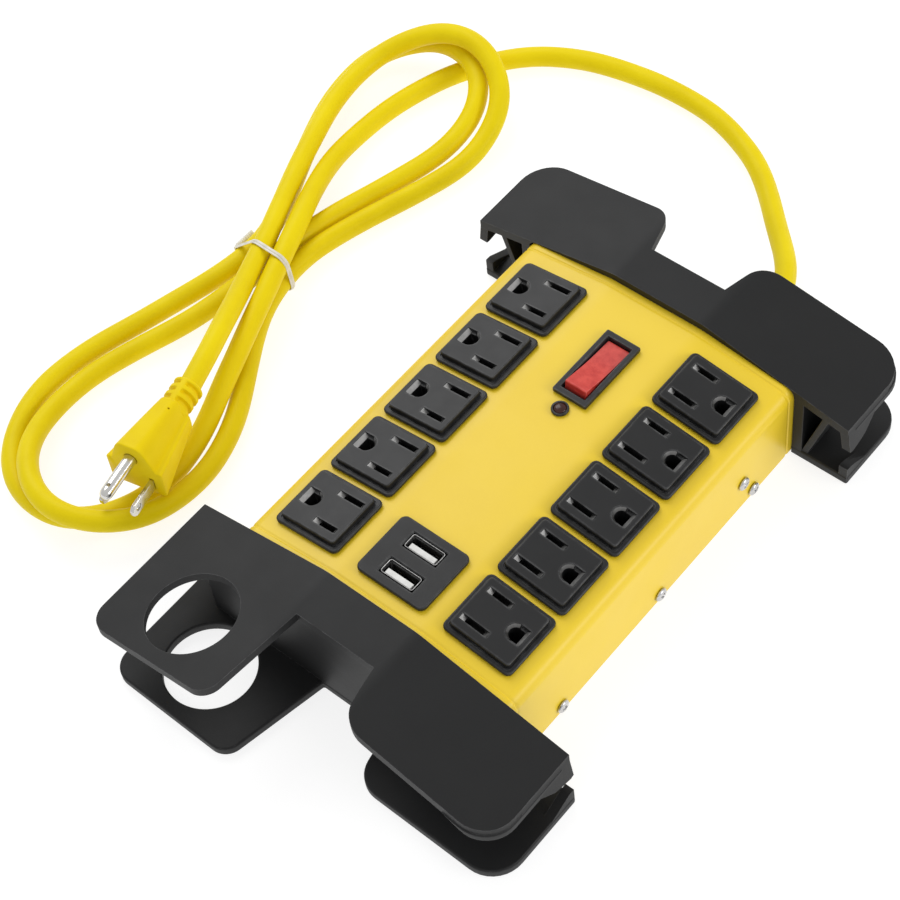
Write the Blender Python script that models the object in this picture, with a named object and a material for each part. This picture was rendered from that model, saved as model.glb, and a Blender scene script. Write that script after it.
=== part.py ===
"""Ten-outlet power strip: sheet-steel housing, two moulded end caps with cord-wrap horns,
two rows of outlets, a USB plate, an illuminated rocker switch, the wiring's bus bars and
boards, and a captive cord with its plug.

Metres, +Z up.  The origin is at the middle of the strip's footprint, on the floor.
+X is toward the right row of outlets, +Y is toward the end where the cord leaves.
"""

import math

import bmesh
import bpy
from mathutils import Matrix, Vector

MM = 0.001
GAP = 0.3  # clearance between pieces that touch in the real product

# ---------------------------------------------------------------- driving dimensions, mm
BODY_Y = 12.0  # middle of the steel housing along Y
HOUSING_HALF_X = 57.0
HOUSING_HALF_Y = 89.2
HOUSING_FLOOR = 1.4
HOUSING_TOP = 40.5  # height of the middle plateau
PLATEAU_HALF = 19.3
SHEET = 1.2
TILT = math.radians(7.85)  # slope of the two outlet faces
EDGE_Z = HOUSING_TOP - (HOUSING_HALF_X - PLATEAU_HALF) * math.tan(TILT)

OUTLET_X = 36.1
OUTLET_Y = 11.0
OUTLET_PITCH = 27.45
OUTLET_LONG = 27.9  # along the slope
OUTLET_WIDE = 25.2  # along Y
OUTLET_PROUD = 1.3
OUTLET_DEEP = 15.0
BLADE_PITCH = 12.7
SLOT_HALF = 1.1  # half width of a blade slot
SLOT_FLOOR = -9.0
GROUND_X = 6.6  # middle of the ground hole's round end
GROUND_FLAT = 10.4  # the hole's flat outer end
FACE_RISE = 2.3  # the raised face above the outlet's flange
GROUND_R = 3.3

CAP_TOP = 43.8
CAP_TILT = 0.2126  # rise over run of the caps' sloping sides
CAP_EDGE = 84.0  # half width of the slabs that the caps' plates are cut from
PLATE = 3.8  # thickness of the caps' upper plates
LOW_PLATE = 4.0
MOUTH_HALF = 75.7  # cap mouths, either side of BODY_Y
SLEEVE_IN = 57.3
SLEEVE_OUT = 61.3
END_WALL = 3.0
BRIDGE_FRONT = -81.5
BRIDGE_REAR = 104.6
WING_RIGHT = 79.3
WING_FRONT_LEFT = -76.4
WING_REAR_LEFT = -80.3
LIP = 3.4
LIP_FLARE = 1.5  # how far a lip's foot stands out from its top
STEP = 0.2  # small setback that keeps joined pieces' faces off one plane
HANG_HOLE = (-46.8, -99.7, 16.25)

USB_Y = -43.7
SWITCH_Y = 52.9
LAMP_Y = 32.9
SWITCH_X = 0.5
ROCKER_REST = math.radians(-8.0)  # the end toward the cord is pressed in

CORD_R = 4.0
CORD_EXIT = (22.0, 104.6, 16.0)
TIE_Y = 38.0
TIE_R = 0.6


# ---------------------------------------------------------------- scene and materials
def clear_scene():
    for obj in list(bpy.data.objects):
        bpy.data.objects.remove(obj)
    for collection in list(bpy.data.collections):
        bpy.data.collections.remove(collection)


def new_collection(name):
    made = bpy.data.collections.new(name)
    bpy.context.scene.collection.children.link(made)
    return made


def material(name, colour, roughness, metallic=0.0):
    made = bpy.data.materials.new(name)
    made.use_nodes = True
    shader = made.node_tree.nodes["Principled BSDF"]
    shader.inputs["Base Color"].default_value = (*colour, 1.0)
    shader.inputs["Roughness"].default_value = roughness
    shader.inputs["Metallic"].default_value = metallic
    made.diffuse_color = (*colour, 1.0)
    return made


clear_scene()
STRIP = new_collection("power_strip")
CUTTERS = new_collection("cutters")

YELLOW_PAINT = material("yellow_paint", (0.86, 0.60, 0.05), 0.38)
BLACK_PLASTIC = material("black_plastic", (0.035, 0.036, 0.038), 0.45)
CAP_PLASTIC = material("cap_plastic", (0.040, 0.041, 0.044), 0.62)
RED_LENS = material("red_lens", (0.72, 0.08, 0.05), 0.25)
AMBER_LENS = material("amber_lens", (0.25, 0.04, 0.02), 0.2)
CORD_YELLOW = material("cord_yellow", (0.82, 0.62, 0.0), 0.5)
STEEL = material("steel", (0.62, 0.62, 0.63), 0.3, 1.0)
NICKEL = material("nickel", (0.66, 0.65, 0.62), 0.25, 1.0)
BRASS = material("brass", (0.72, 0.5, 0.2), 0.3, 1.0)
BOARD_GREEN = material("board_green", (0.03, 0.16, 0.06), 0.5)
VARISTOR_BLUE = material("varistor_blue", (0.03, 0.1, 0.32), 0.4)
PORT_WHITE = material("port_white", (0.7, 0.7, 0.68), 0.5)
TIE_WHITE = material("tie_white", (0.8, 0.78, 0.7), 0.6)


# ---------------------------------------------------------------- building blocks
def add_object(name, mesh, mat, collection=STRIP):
    obj = bpy.data.objects.new(name, mesh)
    collection.objects.link(obj)
    if mat is not None:
        mesh.materials.clear()
        mesh.materials.append(mat)
    return obj


def finish_mesh(name, bm):
    bmesh.ops.remove_doubles(bm, verts=bm.verts, dist=1e-6)
    bmesh.ops.recalc_face_normals(bm, faces=bm.faces)
    mesh = bpy.data.meshes.new(name)
    bm.to_mesh(mesh)
    bm.free()
    return mesh


def box_mesh(name, lo, hi, matrix=None):
    """Axis-aligned box between two corners in mm, then an optional matrix."""
    bm = bmesh.new()
    bmesh.ops.create_cube(bm, size=1.0)
    size = [hi[i] - lo[i] for i in range(3)]
    middle = [(hi[i] + lo[i]) / 2 for i in range(3)]
    bmesh.ops.scale(bm, vec=Vector(size) * MM, verts=bm.verts)
    bmesh.ops.translate(bm, vec=Vector(middle) * MM, verts=bm.verts)
    if matrix is not None:
        bmesh.ops.transform(bm, matrix=matrix, verts=bm.verts)
    return finish_mesh(name, bm)


def prism_mesh(name, outline, lo, hi, axis="Z", matrix=None):
    """A closed 2D outline in mm swept from lo to hi along one axis.
    The outline is (x, y) for Z, (x, z) for Y and (y, z) for X."""
    curve = bpy.data.curves.new(name + "_outline", "CURVE")
    curve.dimensions = "2D"
    curve.fill_mode = "BOTH"
    curve.extrude = (hi - lo) / 2 * MM
    spline = curve.splines.new("POLY")
    spline.points.add(len(outline) - 1)
    for point, (u, v) in zip(spline.points, outline):
        point.co = (u * MM, v * MM, 0.0, 1.0)
    spline.use_cyclic_u = True
    holder = bpy.data.objects.new(name + "_curve", curve)
    bpy.context.scene.collection.objects.link(holder)
    bpy.context.view_layer.update()
    graph = bpy.context.evaluated_depsgraph_get()
    mesh = bpy.data.meshes.new_from_object(holder.evaluated_get(graph))
    bpy.data.objects.remove(holder)
    middle = (hi + lo) / 2 * MM
    turn = {
        "Z": Matrix.Identity(4),
        "Y": Matrix(((1, 0, 0, 0), (0, 0, 1, 0), (0, 1, 0, 0), (0, 0, 0, 1))),
        "X": Matrix(((0, 0, 1, 0), (1, 0, 0, 0), (0, 1, 0, 0), (0, 0, 0, 1))),
    }[axis]
    shift = {"Z": (0, 0, middle), "Y": (0, middle, 0), "X": (middle, 0, 0)}[axis]
    bm = bmesh.new()
    bm.from_mesh(mesh)
    bmesh.ops.transform(bm, matrix=Matrix.Translation(shift) @ turn, verts=bm.verts)
    if matrix is not None:
        bmesh.ops.transform(bm, matrix=matrix, verts=bm.verts)
    return finish_mesh(name, bm)


def cylinder_mesh(name, radius, lo, hi, segments=32, matrix=None, top=None):
    """A cylinder or cone about Z from lo to hi, in mm."""
    bm = bmesh.new()
    bmesh.ops.create_cone(
        bm,
        cap_ends=True,
        segments=segments,
        radius1=radius * MM,
        radius2=(radius if top is None else top) * MM,
        depth=(hi - lo) * MM,
    )
    bmesh.ops.translate(bm, vec=(0, 0, (hi + lo) / 2 * MM), verts=bm.verts)
    if matrix is not None:
        bmesh.ops.transform(bm, matrix=matrix, verts=bm.verts)
    return finish_mesh(name, bm)


def rounded(points, radii, steps=5):
    """A closed outline whose corners are replaced by arcs of the given radii."""
    made = []
    count = len(points)
    for i in range(count):
        here = Vector(points[i])
        radius = radii[i] if isinstance(radii, (list, tuple)) else radii
        to_back = (Vector(points[i - 1]) - here).normalized()
        to_next = (Vector(points[(i + 1) % count]) - here).normalized()
        if radius <= 0:
            made.append(tuple(here))
            continue
        half = to_back.angle(to_next) / 2
        cut = radius / math.tan(half)
        middle = here + (to_back + to_next).normalized() * (radius / math.sin(half))
        start = here + to_back * cut - middle
        end = here + to_next * cut - middle
        sweep = math.atan2(
            start.x * end.y - start.y * end.x, start.x * end.x + start.y * end.y
        )
        for k in range(steps + 1):
            angle = sweep * k / steps
            turned = Matrix.Rotation(angle, 2) @ start
            made.append(tuple(middle + turned))
    return made


def rectangle(x0, y0, x1, y1, radius=0.0, steps=4):
    corners = [(x0, y0), (x1, y0), (x1, y1), (x0, y1)]
    return rounded(corners, radius, steps) if radius else corners


def boolean(obj, mesh, operation):
    """Adds a Boolean whose other side is a hidden helper made from the mesh."""
    helper = add_object(mesh.name + "_helper", mesh, None, CUTTERS)
    helper.hide_render = True
    helper.display_type = "WIRE"
    modifier = obj.modifiers.new(operation.lower(), "BOOLEAN")
    modifier.operation = operation
    modifier.solver = "EXACT"
    modifier.object = helper
    return obj


def cut(obj, mesh):
    return boolean(obj, mesh, "DIFFERENCE")


def join(obj, mesh):
    return boolean(obj, mesh, "UNION")


def keep_inside(obj, mesh):
    return boolean(obj, mesh, "INTERSECT")


def merged(meshes, name):
    """Several separate closed meshes as one helper mesh."""
    bm = bmesh.new()
    for mesh in meshes:
        bm.from_mesh(mesh)
    made = bpy.data.meshes.new(name)
    bm.to_mesh(made)
    bm.free()
    return made


def smooth(mesh, angle=40):
    mesh.shade_smooth()
    mesh.set_sharp_from_angle(angle=math.radians(angle))
    return mesh


# ---------------------------------------------------------------- steel housing
def housing_outline(inset):
    """Section of the housing in XZ, soft at the two creases and the two top edges."""
    top = HOUSING_TOP - inset
    floor = HOUSING_FLOOR - (2.0 if inset else 0.0)
    side = HOUSING_HALF_X - inset
    edge = EDGE_Z - inset / math.cos(TILT) + inset * math.tan(TILT)
    crease = PLATEAU_HALF - inset * math.tan(TILT / 2)
    corners = [
        (-side, floor),
        (side, floor),
        (side, edge),
        (crease, top),
        (-crease, top),
        (-side, edge),
    ]
    radii = [0.0, 0.0, 5.0 - inset, 40.0, 40.0, 5.0 - inset]
    return rounded(corners, radii, 4)


def facet_matrix(side, x=OUTLET_X, y=0.0):
    """Places a piece built flat at the origin onto a sloping outlet face.
    side is +1 for the right row and -1 for the left row, which is turned half a turn."""
    height = HOUSING_TOP - (x - PLATEAU_HALF) * math.tan(TILT)
    turn = Matrix.Rotation(TILT, 4, "Y")
    place = Matrix.Translation(Vector((x, 0, height)) * MM) @ turn
    if side < 0:
        place = Matrix.Rotation(math.pi, 4, "Z") @ place
    return Matrix.Translation((0, y * MM, 0)) @ place


def build_housing():
    y0 = BODY_Y - HOUSING_HALF_Y
    y1 = BODY_Y + HOUSING_HALF_Y
    mesh = prism_mesh("housing_shell", housing_outline(0.0), y0, y1, "Y")
    housing = add_object("housing_shell", smooth(mesh, 25), YELLOW_PAINT)
    inside = prism_mesh("housing_inside", housing_outline(SHEET), y0 - 1, y1 + 1, "Y")
    cut(housing, inside)
    windows = []
    half_long = OUTLET_LONG / 2 - 1.1
    half_wide = OUTLET_WIDE / 2 - 1.1
    for side in (1, -1):
        for i in range(5):
            y = OUTLET_Y + (i - 2) * OUTLET_PITCH
            windows.append(
                box_mesh(
                    "outlet_window",
                    (-half_long, -half_wide, -5),
                    (half_long, half_wide, 5),
                    facet_matrix(side, y=y),
                )
            )
    windows.append(box_mesh("usb_window", (-13.2, USB_Y - 11.4, 36), (14.0, USB_Y + 11.4, 46)))
    windows.append(
        box_mesh(
            "switch_window",
            (SWITCH_X - 6.1, SWITCH_Y - 14.1, 36),
            (SWITCH_X + 6.1, SWITCH_Y + 14.1, 46),
        )
    )
    windows.append(
        cylinder_mesh(
            "lamp_window", 2.75, 36, 46, 24, Matrix.Translation((0.4 * MM, LAMP_Y * MM, 0))
        )
    )
    for _, y, z in SCREW_SPOTS:
        windows.append(
            cylinder_mesh(
                "screw_window",
                1.7,
                -70,
                70,
                16,
                Matrix.Translation((0, y * MM, z * MM)) @ Matrix.Rotation(math.pi / 2, 4, "Y"),
            )
        )
    cut(housing, merged(windows, "housing_windows"))
    return housing


SCREW_SPOTS = [(1, 59.0, 15.0), (2, 65.0, 4.9), (3, 12.0, 4.9), (4, -41.0, 4.9)]
FLANGE_OUT = HOUSING_HALF_X - SHEET - GAP


def build_base_plate():
    """Closing tray: a flat sheet with two upturned flanges that the side screws bite."""
    y0 = BODY_Y - HOUSING_HALF_Y + 0.5
    y1 = BODY_Y + HOUSING_HALF_Y - 0.5
    x = FLANGE_OUT
    section = [
        (-x, 1.5),
        (x, 1.5),
        (x, 19.5),
        (x - SHEET, 19.5),
        (x - SHEET, 1.5 + SHEET),
        (-x + SHEET, 1.5 + SHEET),
        (-x + SHEET, 19.5),
        (-x, 19.5),
    ]
    plate = add_object("base_plate", prism_mesh("base_plate", section, y0, y1, "Y"), STEEL)
    holes = [
        cylinder_mesh(
            "base_screw_hole",
            1.7,
            -70,
            70,
            16,
            Matrix.Translation((0, y * MM, z * MM)) @ Matrix.Rotation(math.pi / 2, 4, "Y"),
        )
        for _, y, z in SCREW_SPOTS
    ]
    cut(plate, merged(holes, "base_holes"))
    return plate


def build_screws():
    """Pan-head screws through each side of the housing into the tray's flanges."""
    for side, name in ((1, "right"), (-1, "left")):
        for number, y, z in SCREW_SPOTS:
            turn = Matrix.Rotation(side * math.pi / 2, 4, "Y")
            spot = Vector((side * (HOUSING_HALF_X + GAP), y, z)) * MM
            place = Matrix.Translation(spot) @ turn
            node = f"screw_{name}_{number}"
            mesh = cylinder_mesh(node, 2.6, 0.0, 1.3, 20, place, top=2.0)
            screw = add_object(node, smooth(mesh, 30), STEEL)
            join(screw, cylinder_mesh(node + "_shank", 1.4, -6.0, 0.5, 14, place))
            slot_a = box_mesh(node + "_slot_a", (-1.3, -0.3, 0.7), (1.3, 0.3, 2.0), place)
            slot_b = box_mesh(node + "_slot_b", (-0.3, -1.3, 0.7), (0.3, 1.3, 2.0), place)
            cut(screw, slot_a)
            cut(screw, slot_b)


# ---------------------------------------------------------------- end caps
def slope_z(x):
    """Height of the caps' upper surface at x."""
    return CAP_TOP - max(0.0, abs(x) - PLATEAU_HALF) * CAP_TILT


def roof_outline(low):
    """Section in XZ of the slab the caps' upper plates are cut from."""
    edge = slope_z(CAP_EDGE)
    top = rounded(
        [(CAP_EDGE, edge), (PLATEAU_HALF, CAP_TOP), (-PLATEAU_HALF, CAP_TOP), (-CAP_EDGE, edge)],
        [0.0, 22.0, 22.0, 0.0],
        4,
    )
    return top + [(x, z - low) for x, z in reversed(top)]


def front_plan(low=False):
    """Plan outline of the front cap: the left horn is longer than the right one."""
    mouth = BODY_Y - MOUTH_HALF
    left = -73.7 if low else WING_FRONT_LEFT
    notch_left = -12.0 if low else -16.3
    right = WING_RIGHT + (1.0 if low else 0.0)
    corners = [
        (16.3, BRIDGE_FRONT),
        (20.3, -102.2),
        (right, -103.0),
        (right, mouth),
        (left, mouth),
        (left, -120.8),
        (-20.0, -121.6),
        (notch_left, BRIDGE_FRONT),
    ]
    return rounded(corners, [1.0, 10.0, 12.0, 1.0, 1.0, 8.0, 7.0, 1.0], 6)


def rear_plan(low=False):
    """Plan outline of the rear cap, whose two horns are alike."""
    mouth = BODY_Y + MOUTH_HALF
    right = WING_RIGHT + (1.0 if low else 0.0)
    corners = [
        (WING_REAR_LEFT, mouth),
        (right, mouth),
        (right, 124.2),
        (20.5, 121.8),
        (16.3, BRIDGE_REAR),
        (-15.0, BRIDGE_REAR),
        (-19.6, 121.6),
        (WING_REAR_LEFT, 124.2),
    ]
    return rounded(corners, [1.0, 1.0, 12.0, 10.0, 1.0, 1.0, 8.0, 12.0], 6)


def build_lip(name, edge, mouth, way, upper):
    """A wing's outer lip: its section across the strip, trimmed to its profile along it.
    edge is the wing's outer x, mouth the cap's mouth plane and way the direction from the
    mouth to the horn's end."""
    side = 1 if edge > 0 else -1
    size = abs(edge)
    brow = slope_z(size) - 1.0
    if upper:
        foot = 19.5
        section = [
            (size - LIP, brow),
            (size - LIP - 0.2, 30.0),
            (size + LIP_FLARE - LIP, foot - 1),
            (size + LIP_FLARE, foot - 1),
            (size - STEP, 31.0),
            (size - STEP, brow),
        ]
        profile = [
            (0.0, 36.0), (0.0, foot), (1.5, foot - 0.4), (5.0, 19.8), (9.0, 21.0), (13.0, 24.0),
            (16.0, 27.0), (28.0, 28.5), (28.0, 36.0),
        ]
    else:
        outer = size + (1.0 if side > 0 else 0.0) - STEP
        section = [(outer - LIP, 1.0), (outer, 1.0), (outer, 9.5), (outer - LIP, 9.5)]
        profile = [(0.0, 1.0), (0.0, 8.6), (2.5, 8.4), (13.0, 3.2), (13.0, 1.0)]
    lip = prism_mesh(
        name,
        [(side * x, z) for x, z in section],
        min(mouth, mouth + way * 40.0),
        max(mouth, mouth + way * 40.0),
        "Y",
    )
    helper = add_object(name, lip, None, CUTTERS)
    helper.hide_render = True
    helper.display_type = "WIRE"
    outline = [(mouth + way * (u + STEP), z) for u, z in profile]
    keep_inside(helper, prism_mesh(name + "_profile", outline, -CAP_EDGE - 4, CAP_EDGE + 4, "X"))
    return helper


def join_object(obj, helper):
    modifier = obj.modifiers.new("union", "BOOLEAN")
    modifier.operation = "UNION"
    modifier.solver = "EXACT"
    modifier.object = helper


def build_cap(name, rear):
    way = 1 if rear else -1
    mouth = BODY_Y + way * MOUTH_HALF
    bridge = BRIDGE_REAR if rear else BRIDGE_FRONT
    plan = rear_plan if rear else front_plan
    far = way * 140.0
    y_lo = min(mouth, far)
    y_hi = max(mouth, far)

    roof = prism_mesh(name, roof_outline(PLATE), y_lo - 5, y_hi + 5, "Y")
    cap = add_object(name, roof, CAP_PLASTIC)
    keep_inside(cap, prism_mesh(name + "_plan", plan(), 0, 60, "Z"))

    # sleeve around the housing's end, closed by the bridge wall
    shoulder = slope_z(SLEEVE_OUT) - 1.8
    block = prism_mesh(
        name + "_sleeve",
        [
            (-SLEEVE_OUT, 1.0), (SLEEVE_OUT, 1.0), (SLEEVE_OUT, shoulder), (PLATEAU_HALF, 42.0),
            (-PLATEAU_HALF, 42.0), (-SLEEVE_OUT, shoulder),
        ],
        min(mouth + way * STEP, bridge - way * STEP),
        max(mouth + way * STEP, bridge - way * STEP),
        "Y",
    )
    join(cap, block)

    # lower plates of the horns and wings
    join(cap, prism_mesh(name + "_low", plan(low=True), 0, LOW_PLATE, "Z"))

    for edge in (WING_RIGHT, WING_REAR_LEFT if rear else WING_FRONT_LEFT):
        for upper in (True, False):
            label = f"{name}_lip_{'right' if edge > 0 else 'left'}_{'upper' if upper else 'lower'}"
            join_object(cap, build_lip(label, edge, mouth, way, upper))

    # slanted rib inside each wing, from the sleeve's foot up to the plate
    for side in (1, -1):
        rib = [(60.8, 3.0), (63.2, 3.0), (72.0, 31.0), (69.4, 31.0)]
        outline = [(side * x, z) for x, z in rib]
        ends = sorted((mouth + way * 3 * STEP, mouth + way * 14.0))
        join(cap, prism_mesh(name + "_rib", outline, ends[0], ends[1], "Y"))

    # hollow for the housing: open toward the mouth, open underneath too
    hollow = rounded(
        [
            (-SLEEVE_IN, -1.0),
            (SLEEVE_IN, -1.0),
            (SLEEVE_IN, EDGE_Z + GAP),
            (PLATEAU_HALF, HOUSING_TOP + GAP),
            (-PLATEAU_HALF, HOUSING_TOP + GAP),
            (-SLEEVE_IN, EDGE_Z + GAP),
        ],
        [0.0, 0.0, 4.0, 0.0, 0.0, 4.0],
        3,
    )
    inner = bridge - way * END_WALL
    outer = mouth - way * 3
    cut(cap, prism_mesh(name + "_hollow", hollow, min(inner, outer), max(inner, outer), "Y"))
    return cap


def build_caps():
    front = build_cap("front_cap", rear=False)
    x, y, radius = HANG_HOLE
    spot = Matrix.Translation((x * MM, y * MM, 0))
    cut(front, cylinder_mesh("hang_hole", radius, -5, 60, 40, spot))
    rear = build_cap("rear_cap", rear=True)
    hole = Matrix.Translation(Vector(CORD_EXIT) * MM) @ Matrix.Rotation(math.pi / 2, 4, "X")
    cut(rear, cylinder_mesh("cord_hole", 6.3, -10, 10, 24, hole))
    return front, rear


# ---------------------------------------------------------------- outlets
def build_outlet(name, side, y):
    """A snap-in grounded outlet: stepped face, two blade slots and a ground hole.
    Local +X points to the strip's outer edge, where the ground hole is."""
    place = facet_matrix(side, y=y)
    half_l = OUTLET_LONG / 2
    half_w = OUTLET_WIDE / 2
    face = OUTLET_PROUD
    body = prism_mesh(
        name, rectangle(-half_l, -half_w, half_l, half_w, 2.2), GAP, face + 0.5, "Z", place
    )
    outlet = add_object(name, body, BLACK_PLASTIC)
    core = prism_mesh(
        name + "_core",
        rectangle(-half_l + 1.6, -half_w + 1.6, half_l - 1.6, half_w - 1.6, 1.4),
        -OUTLET_DEEP,
        face + FACE_RISE,
        "Z",
        place,
    )
    join(outlet, core)
    holes = []
    for slot, x0, x1, y_mid in (("neutral", -9.9, -0.3, -1), ("live", -9.1, -0.8, 1)):
        middle = y_mid * BLADE_PITCH / 2
        lo = (x0, middle - SLOT_HALF, SLOT_FLOOR)
        hi = (x1, middle + SLOT_HALF, 5)
        holes.append(box_mesh(f"{name}_{slot}", lo, hi, place))
    ground = [(GROUND_FLAT, -GROUND_R), (GROUND_FLAT, GROUND_R)]
    for angle in range(90, 271, 30):
        turn = math.radians(angle)
        ground.append((GROUND_X + GROUND_R * math.cos(turn), GROUND_R * math.sin(turn)))
    holes.append(prism_mesh(name + "_ground", ground, SLOT_FLOOR - 0.5, 5, "Z", place))
    cut(outlet, merged(holes, name + "_holes"))
    return outlet


def build_outlets():
    for side, label in ((1, "right"), (-1, "left")):
        for i in range(5):
            y = OUTLET_Y + (i - 2) * OUTLET_PITCH
            build_outlet(f"outlet_{label}_{i + 1}", side, y)


def build_bars():
    """Three bus bars under each row; each runs the length of the row."""
    y0 = OUTLET_Y - 2 * OUTLET_PITCH - 11
    y1 = OUTLET_Y + 2 * OUTLET_PITCH + 11
    rows = [("live", 22.0, BRASS), ("neutral", 29.0, BRASS), ("ground", 43.0, BRASS)]
    for side, label in ((1, "right"), (-1, "left")):
        for kind, x, mat in rows:
            top = HOUSING_TOP - (x - PLATEAU_HALF) * math.tan(TILT) - OUTLET_DEEP - 2.2
            xs = sorted((side * (x - 3.0), side * (x + 3.0)))
            name = f"{kind}_bar_{label}"
            bar = add_object(name, box_mesh(name, (xs[0], y0, top - 0.8), (xs[1], y1, top)), mat)
            web_x = side * x
            web = box_mesh(
                name + "_web", (web_x - 0.4, y0, top - 4.5), (web_x + 0.4, y1, top - 0.4)
            )
            join(bar, web)


# ---------------------------------------------------------------- USB charger
def build_usb():
    x0 = 0.4
    plate = prism_mesh(
        "usb_plate",
        rectangle(x0 - 14.4, USB_Y - 12.7, x0 + 14.4, USB_Y + 12.7, 2.5),
        HOUSING_TOP + GAP,
        HOUSING_TOP + 2.0,
    )
    usb = add_object("usb_plate", plate, BLACK_PLASTIC)
    join(
        usb,
        prism_mesh(
            "usb_core",
            rectangle(x0 - 13.1, USB_Y - 10.9, x0 + 13.1, USB_Y + 10.9, 1.0),
            HOUSING_TOP - 10.0,
            HOUSING_TOP + 1.0,
        ),
    )
    pockets = [
        box_mesh("usb_pocket", (x0 - 7.1, USB_Y + d - 3.1, 20), (x0 + 7.1, USB_Y + d + 3.1, 60))
        for d in (-5.9, 5.9)
    ]
    cut(usb, merged(pockets, "usb_pockets"))
    for d, label in ((-5.9, "front"), (5.9, "rear")):
        y = USB_Y + d
        port = add_object(
            f"usb_port_{label}",
            prism_mesh(
                f"usb_port_{label}",
                rectangle(x0 - 6.7, y - 2.8, x0 + 6.7, y + 2.8, 0.6, 2),
                HOUSING_TOP - 9.5,
                HOUSING_TOP + 1.8,
            ),
            NICKEL,
        )
        cut(
            port,
            box_mesh("usb_mouth", (x0 - 6.2, y - 2.3, HOUSING_TOP - 8.9), (x0 + 6.2, y + 2.3, 60)),
        )
        tongue = box_mesh(
            f"usb_tongue_{label}",
            (x0 - 5.4, y - 1.9, HOUSING_TOP - 8.6),
            (x0 + 5.4, y - 0.2, HOUSING_TOP + 0.6),
        )
        add_object(f"usb_tongue_{label}", tongue, PORT_WHITE)
    board = box_mesh("usb_board", (-15, USB_Y - 16, 27.0), (15, USB_Y + 16, 28.6))
    add_object("usb_board", board, BOARD_GREEN)


# ---------------------------------------------------------------- switch and lamp
def build_switch():
    """A slim rocker switch: bezel and well, a pivot pin, and the rocker on it."""
    x = SWITCH_X
    y = SWITCH_Y
    top = HOUSING_TOP
    frame = prism_mesh(
        "switch_body",
        rectangle(x - 7.1, y - 15.5, x + 7.1, y + 15.5, 0.5, 2),
        top + GAP,
        top + 2.0,
    )
    body = add_object("switch_body", frame, BLACK_PLASTIC)
    join(body, box_mesh("switch_well", (x - 5.9, y - 13.8, top - 14), (x + 5.9, y + 13.8, top + 1)))
    cut(body, box_mesh("switch_hollow", (x - 4.9, y - 12.9, top - 12), (x + 4.9, y + 12.9, 60)))
    for side in (1, -1):
        terminal = box_mesh(
            "switch_terminal",
            (x - 2.4, y + side * 9 - 0.4, top - 20),
            (x + 2.4, y + side * 9 + 0.4, top - 13),
        )
        join(body, terminal)

    pivot = Vector((x, y, top - 3.0)) * MM
    side_on = Matrix.Translation(pivot) @ Matrix.Rotation(math.pi / 2, 4, "Y")
    pin = cylinder_mesh("rocker_pin", 1.0, -5.6, 5.6, 16, side_on)
    add_object("rocker_pin", smooth(pin, 30), STEEL)
    cut(body, cylinder_mesh("pin_bore", 1.3, -5.75, 5.75, 16, side_on))

    # rocker section in YZ about the pivot: two faces meeting in a shallow valley
    section = rounded(
        [
            (-12.2, 1.0),
            (-6.0, -4.6),
            (6.0, -4.6),
            (12.2, 1.0),
            (12.3, 5.6),
            (0.0, 3.7),
            (-12.3, 5.6),
        ],
        [1.0, 1.5, 1.5, 1.0, 0.7, 8.0, 0.7],
        3,
    )
    mesh = prism_mesh("switch_rocker", section, -4.5, 4.5, "X")
    rocker = add_object("switch_rocker", mesh, RED_LENS)
    rocker.location = pivot
    rocker.rotation_euler = (ROCKER_REST, 0.0, 0.0)
    bore = cylinder_mesh(
        "rocker_bore", 1.3, -8, 8, 16,
        Matrix.Translation(pivot) @ Matrix.Rotation(math.pi / 2, 4, "Y"),
    )
    cut(rocker, bore)


def build_lamp():
    spot = Matrix.Translation((0.4 * MM, LAMP_Y * MM, HOUSING_TOP * MM))
    lens = cylinder_mesh("indicator_lens", 3.15, GAP, 1.4, 28, spot, top=2.6)
    lamp = add_object("indicator_lens", smooth(lens, 30), AMBER_LENS)
    join(lamp, cylinder_mesh("indicator_stem", 2.4, -7.0, 0.9, 24, spot))
    bulb = cylinder_mesh("indicator_lamp", 2.2, -16.0, -7.4, 20, spot)
    add_object("indicator_lamp", smooth(bulb, 30), RED_LENS)


# ---------------------------------------------------------------- surge protection
def build_surge():
    board = box_mesh("surge_board", (-16, -22, 5.0), (16, 22, 6.6))
    add_object("surge_board", board, BOARD_GREEN)
    for i in range(3):
        spot = Vector((0, -12 + 12 * i, 14.9)) * MM
        place = Matrix.Translation(spot) @ Matrix.Rotation(math.pi / 2, 4, "X")
        name = f"varistor_{i + 1}"
        disc = cylinder_mesh(name, 7.6, -2.2, 2.2, 28, place)
        disc_obj = add_object(name, smooth(disc, 30), VARISTOR_BLUE)
        leg = box_mesh(
            name + "_legs", (-4, (-12 + 12 * i) - 0.6, 6.9), (4, (-12 + 12 * i) + 0.6, 12)
        )
        join(disc_obj, leg)


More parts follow.
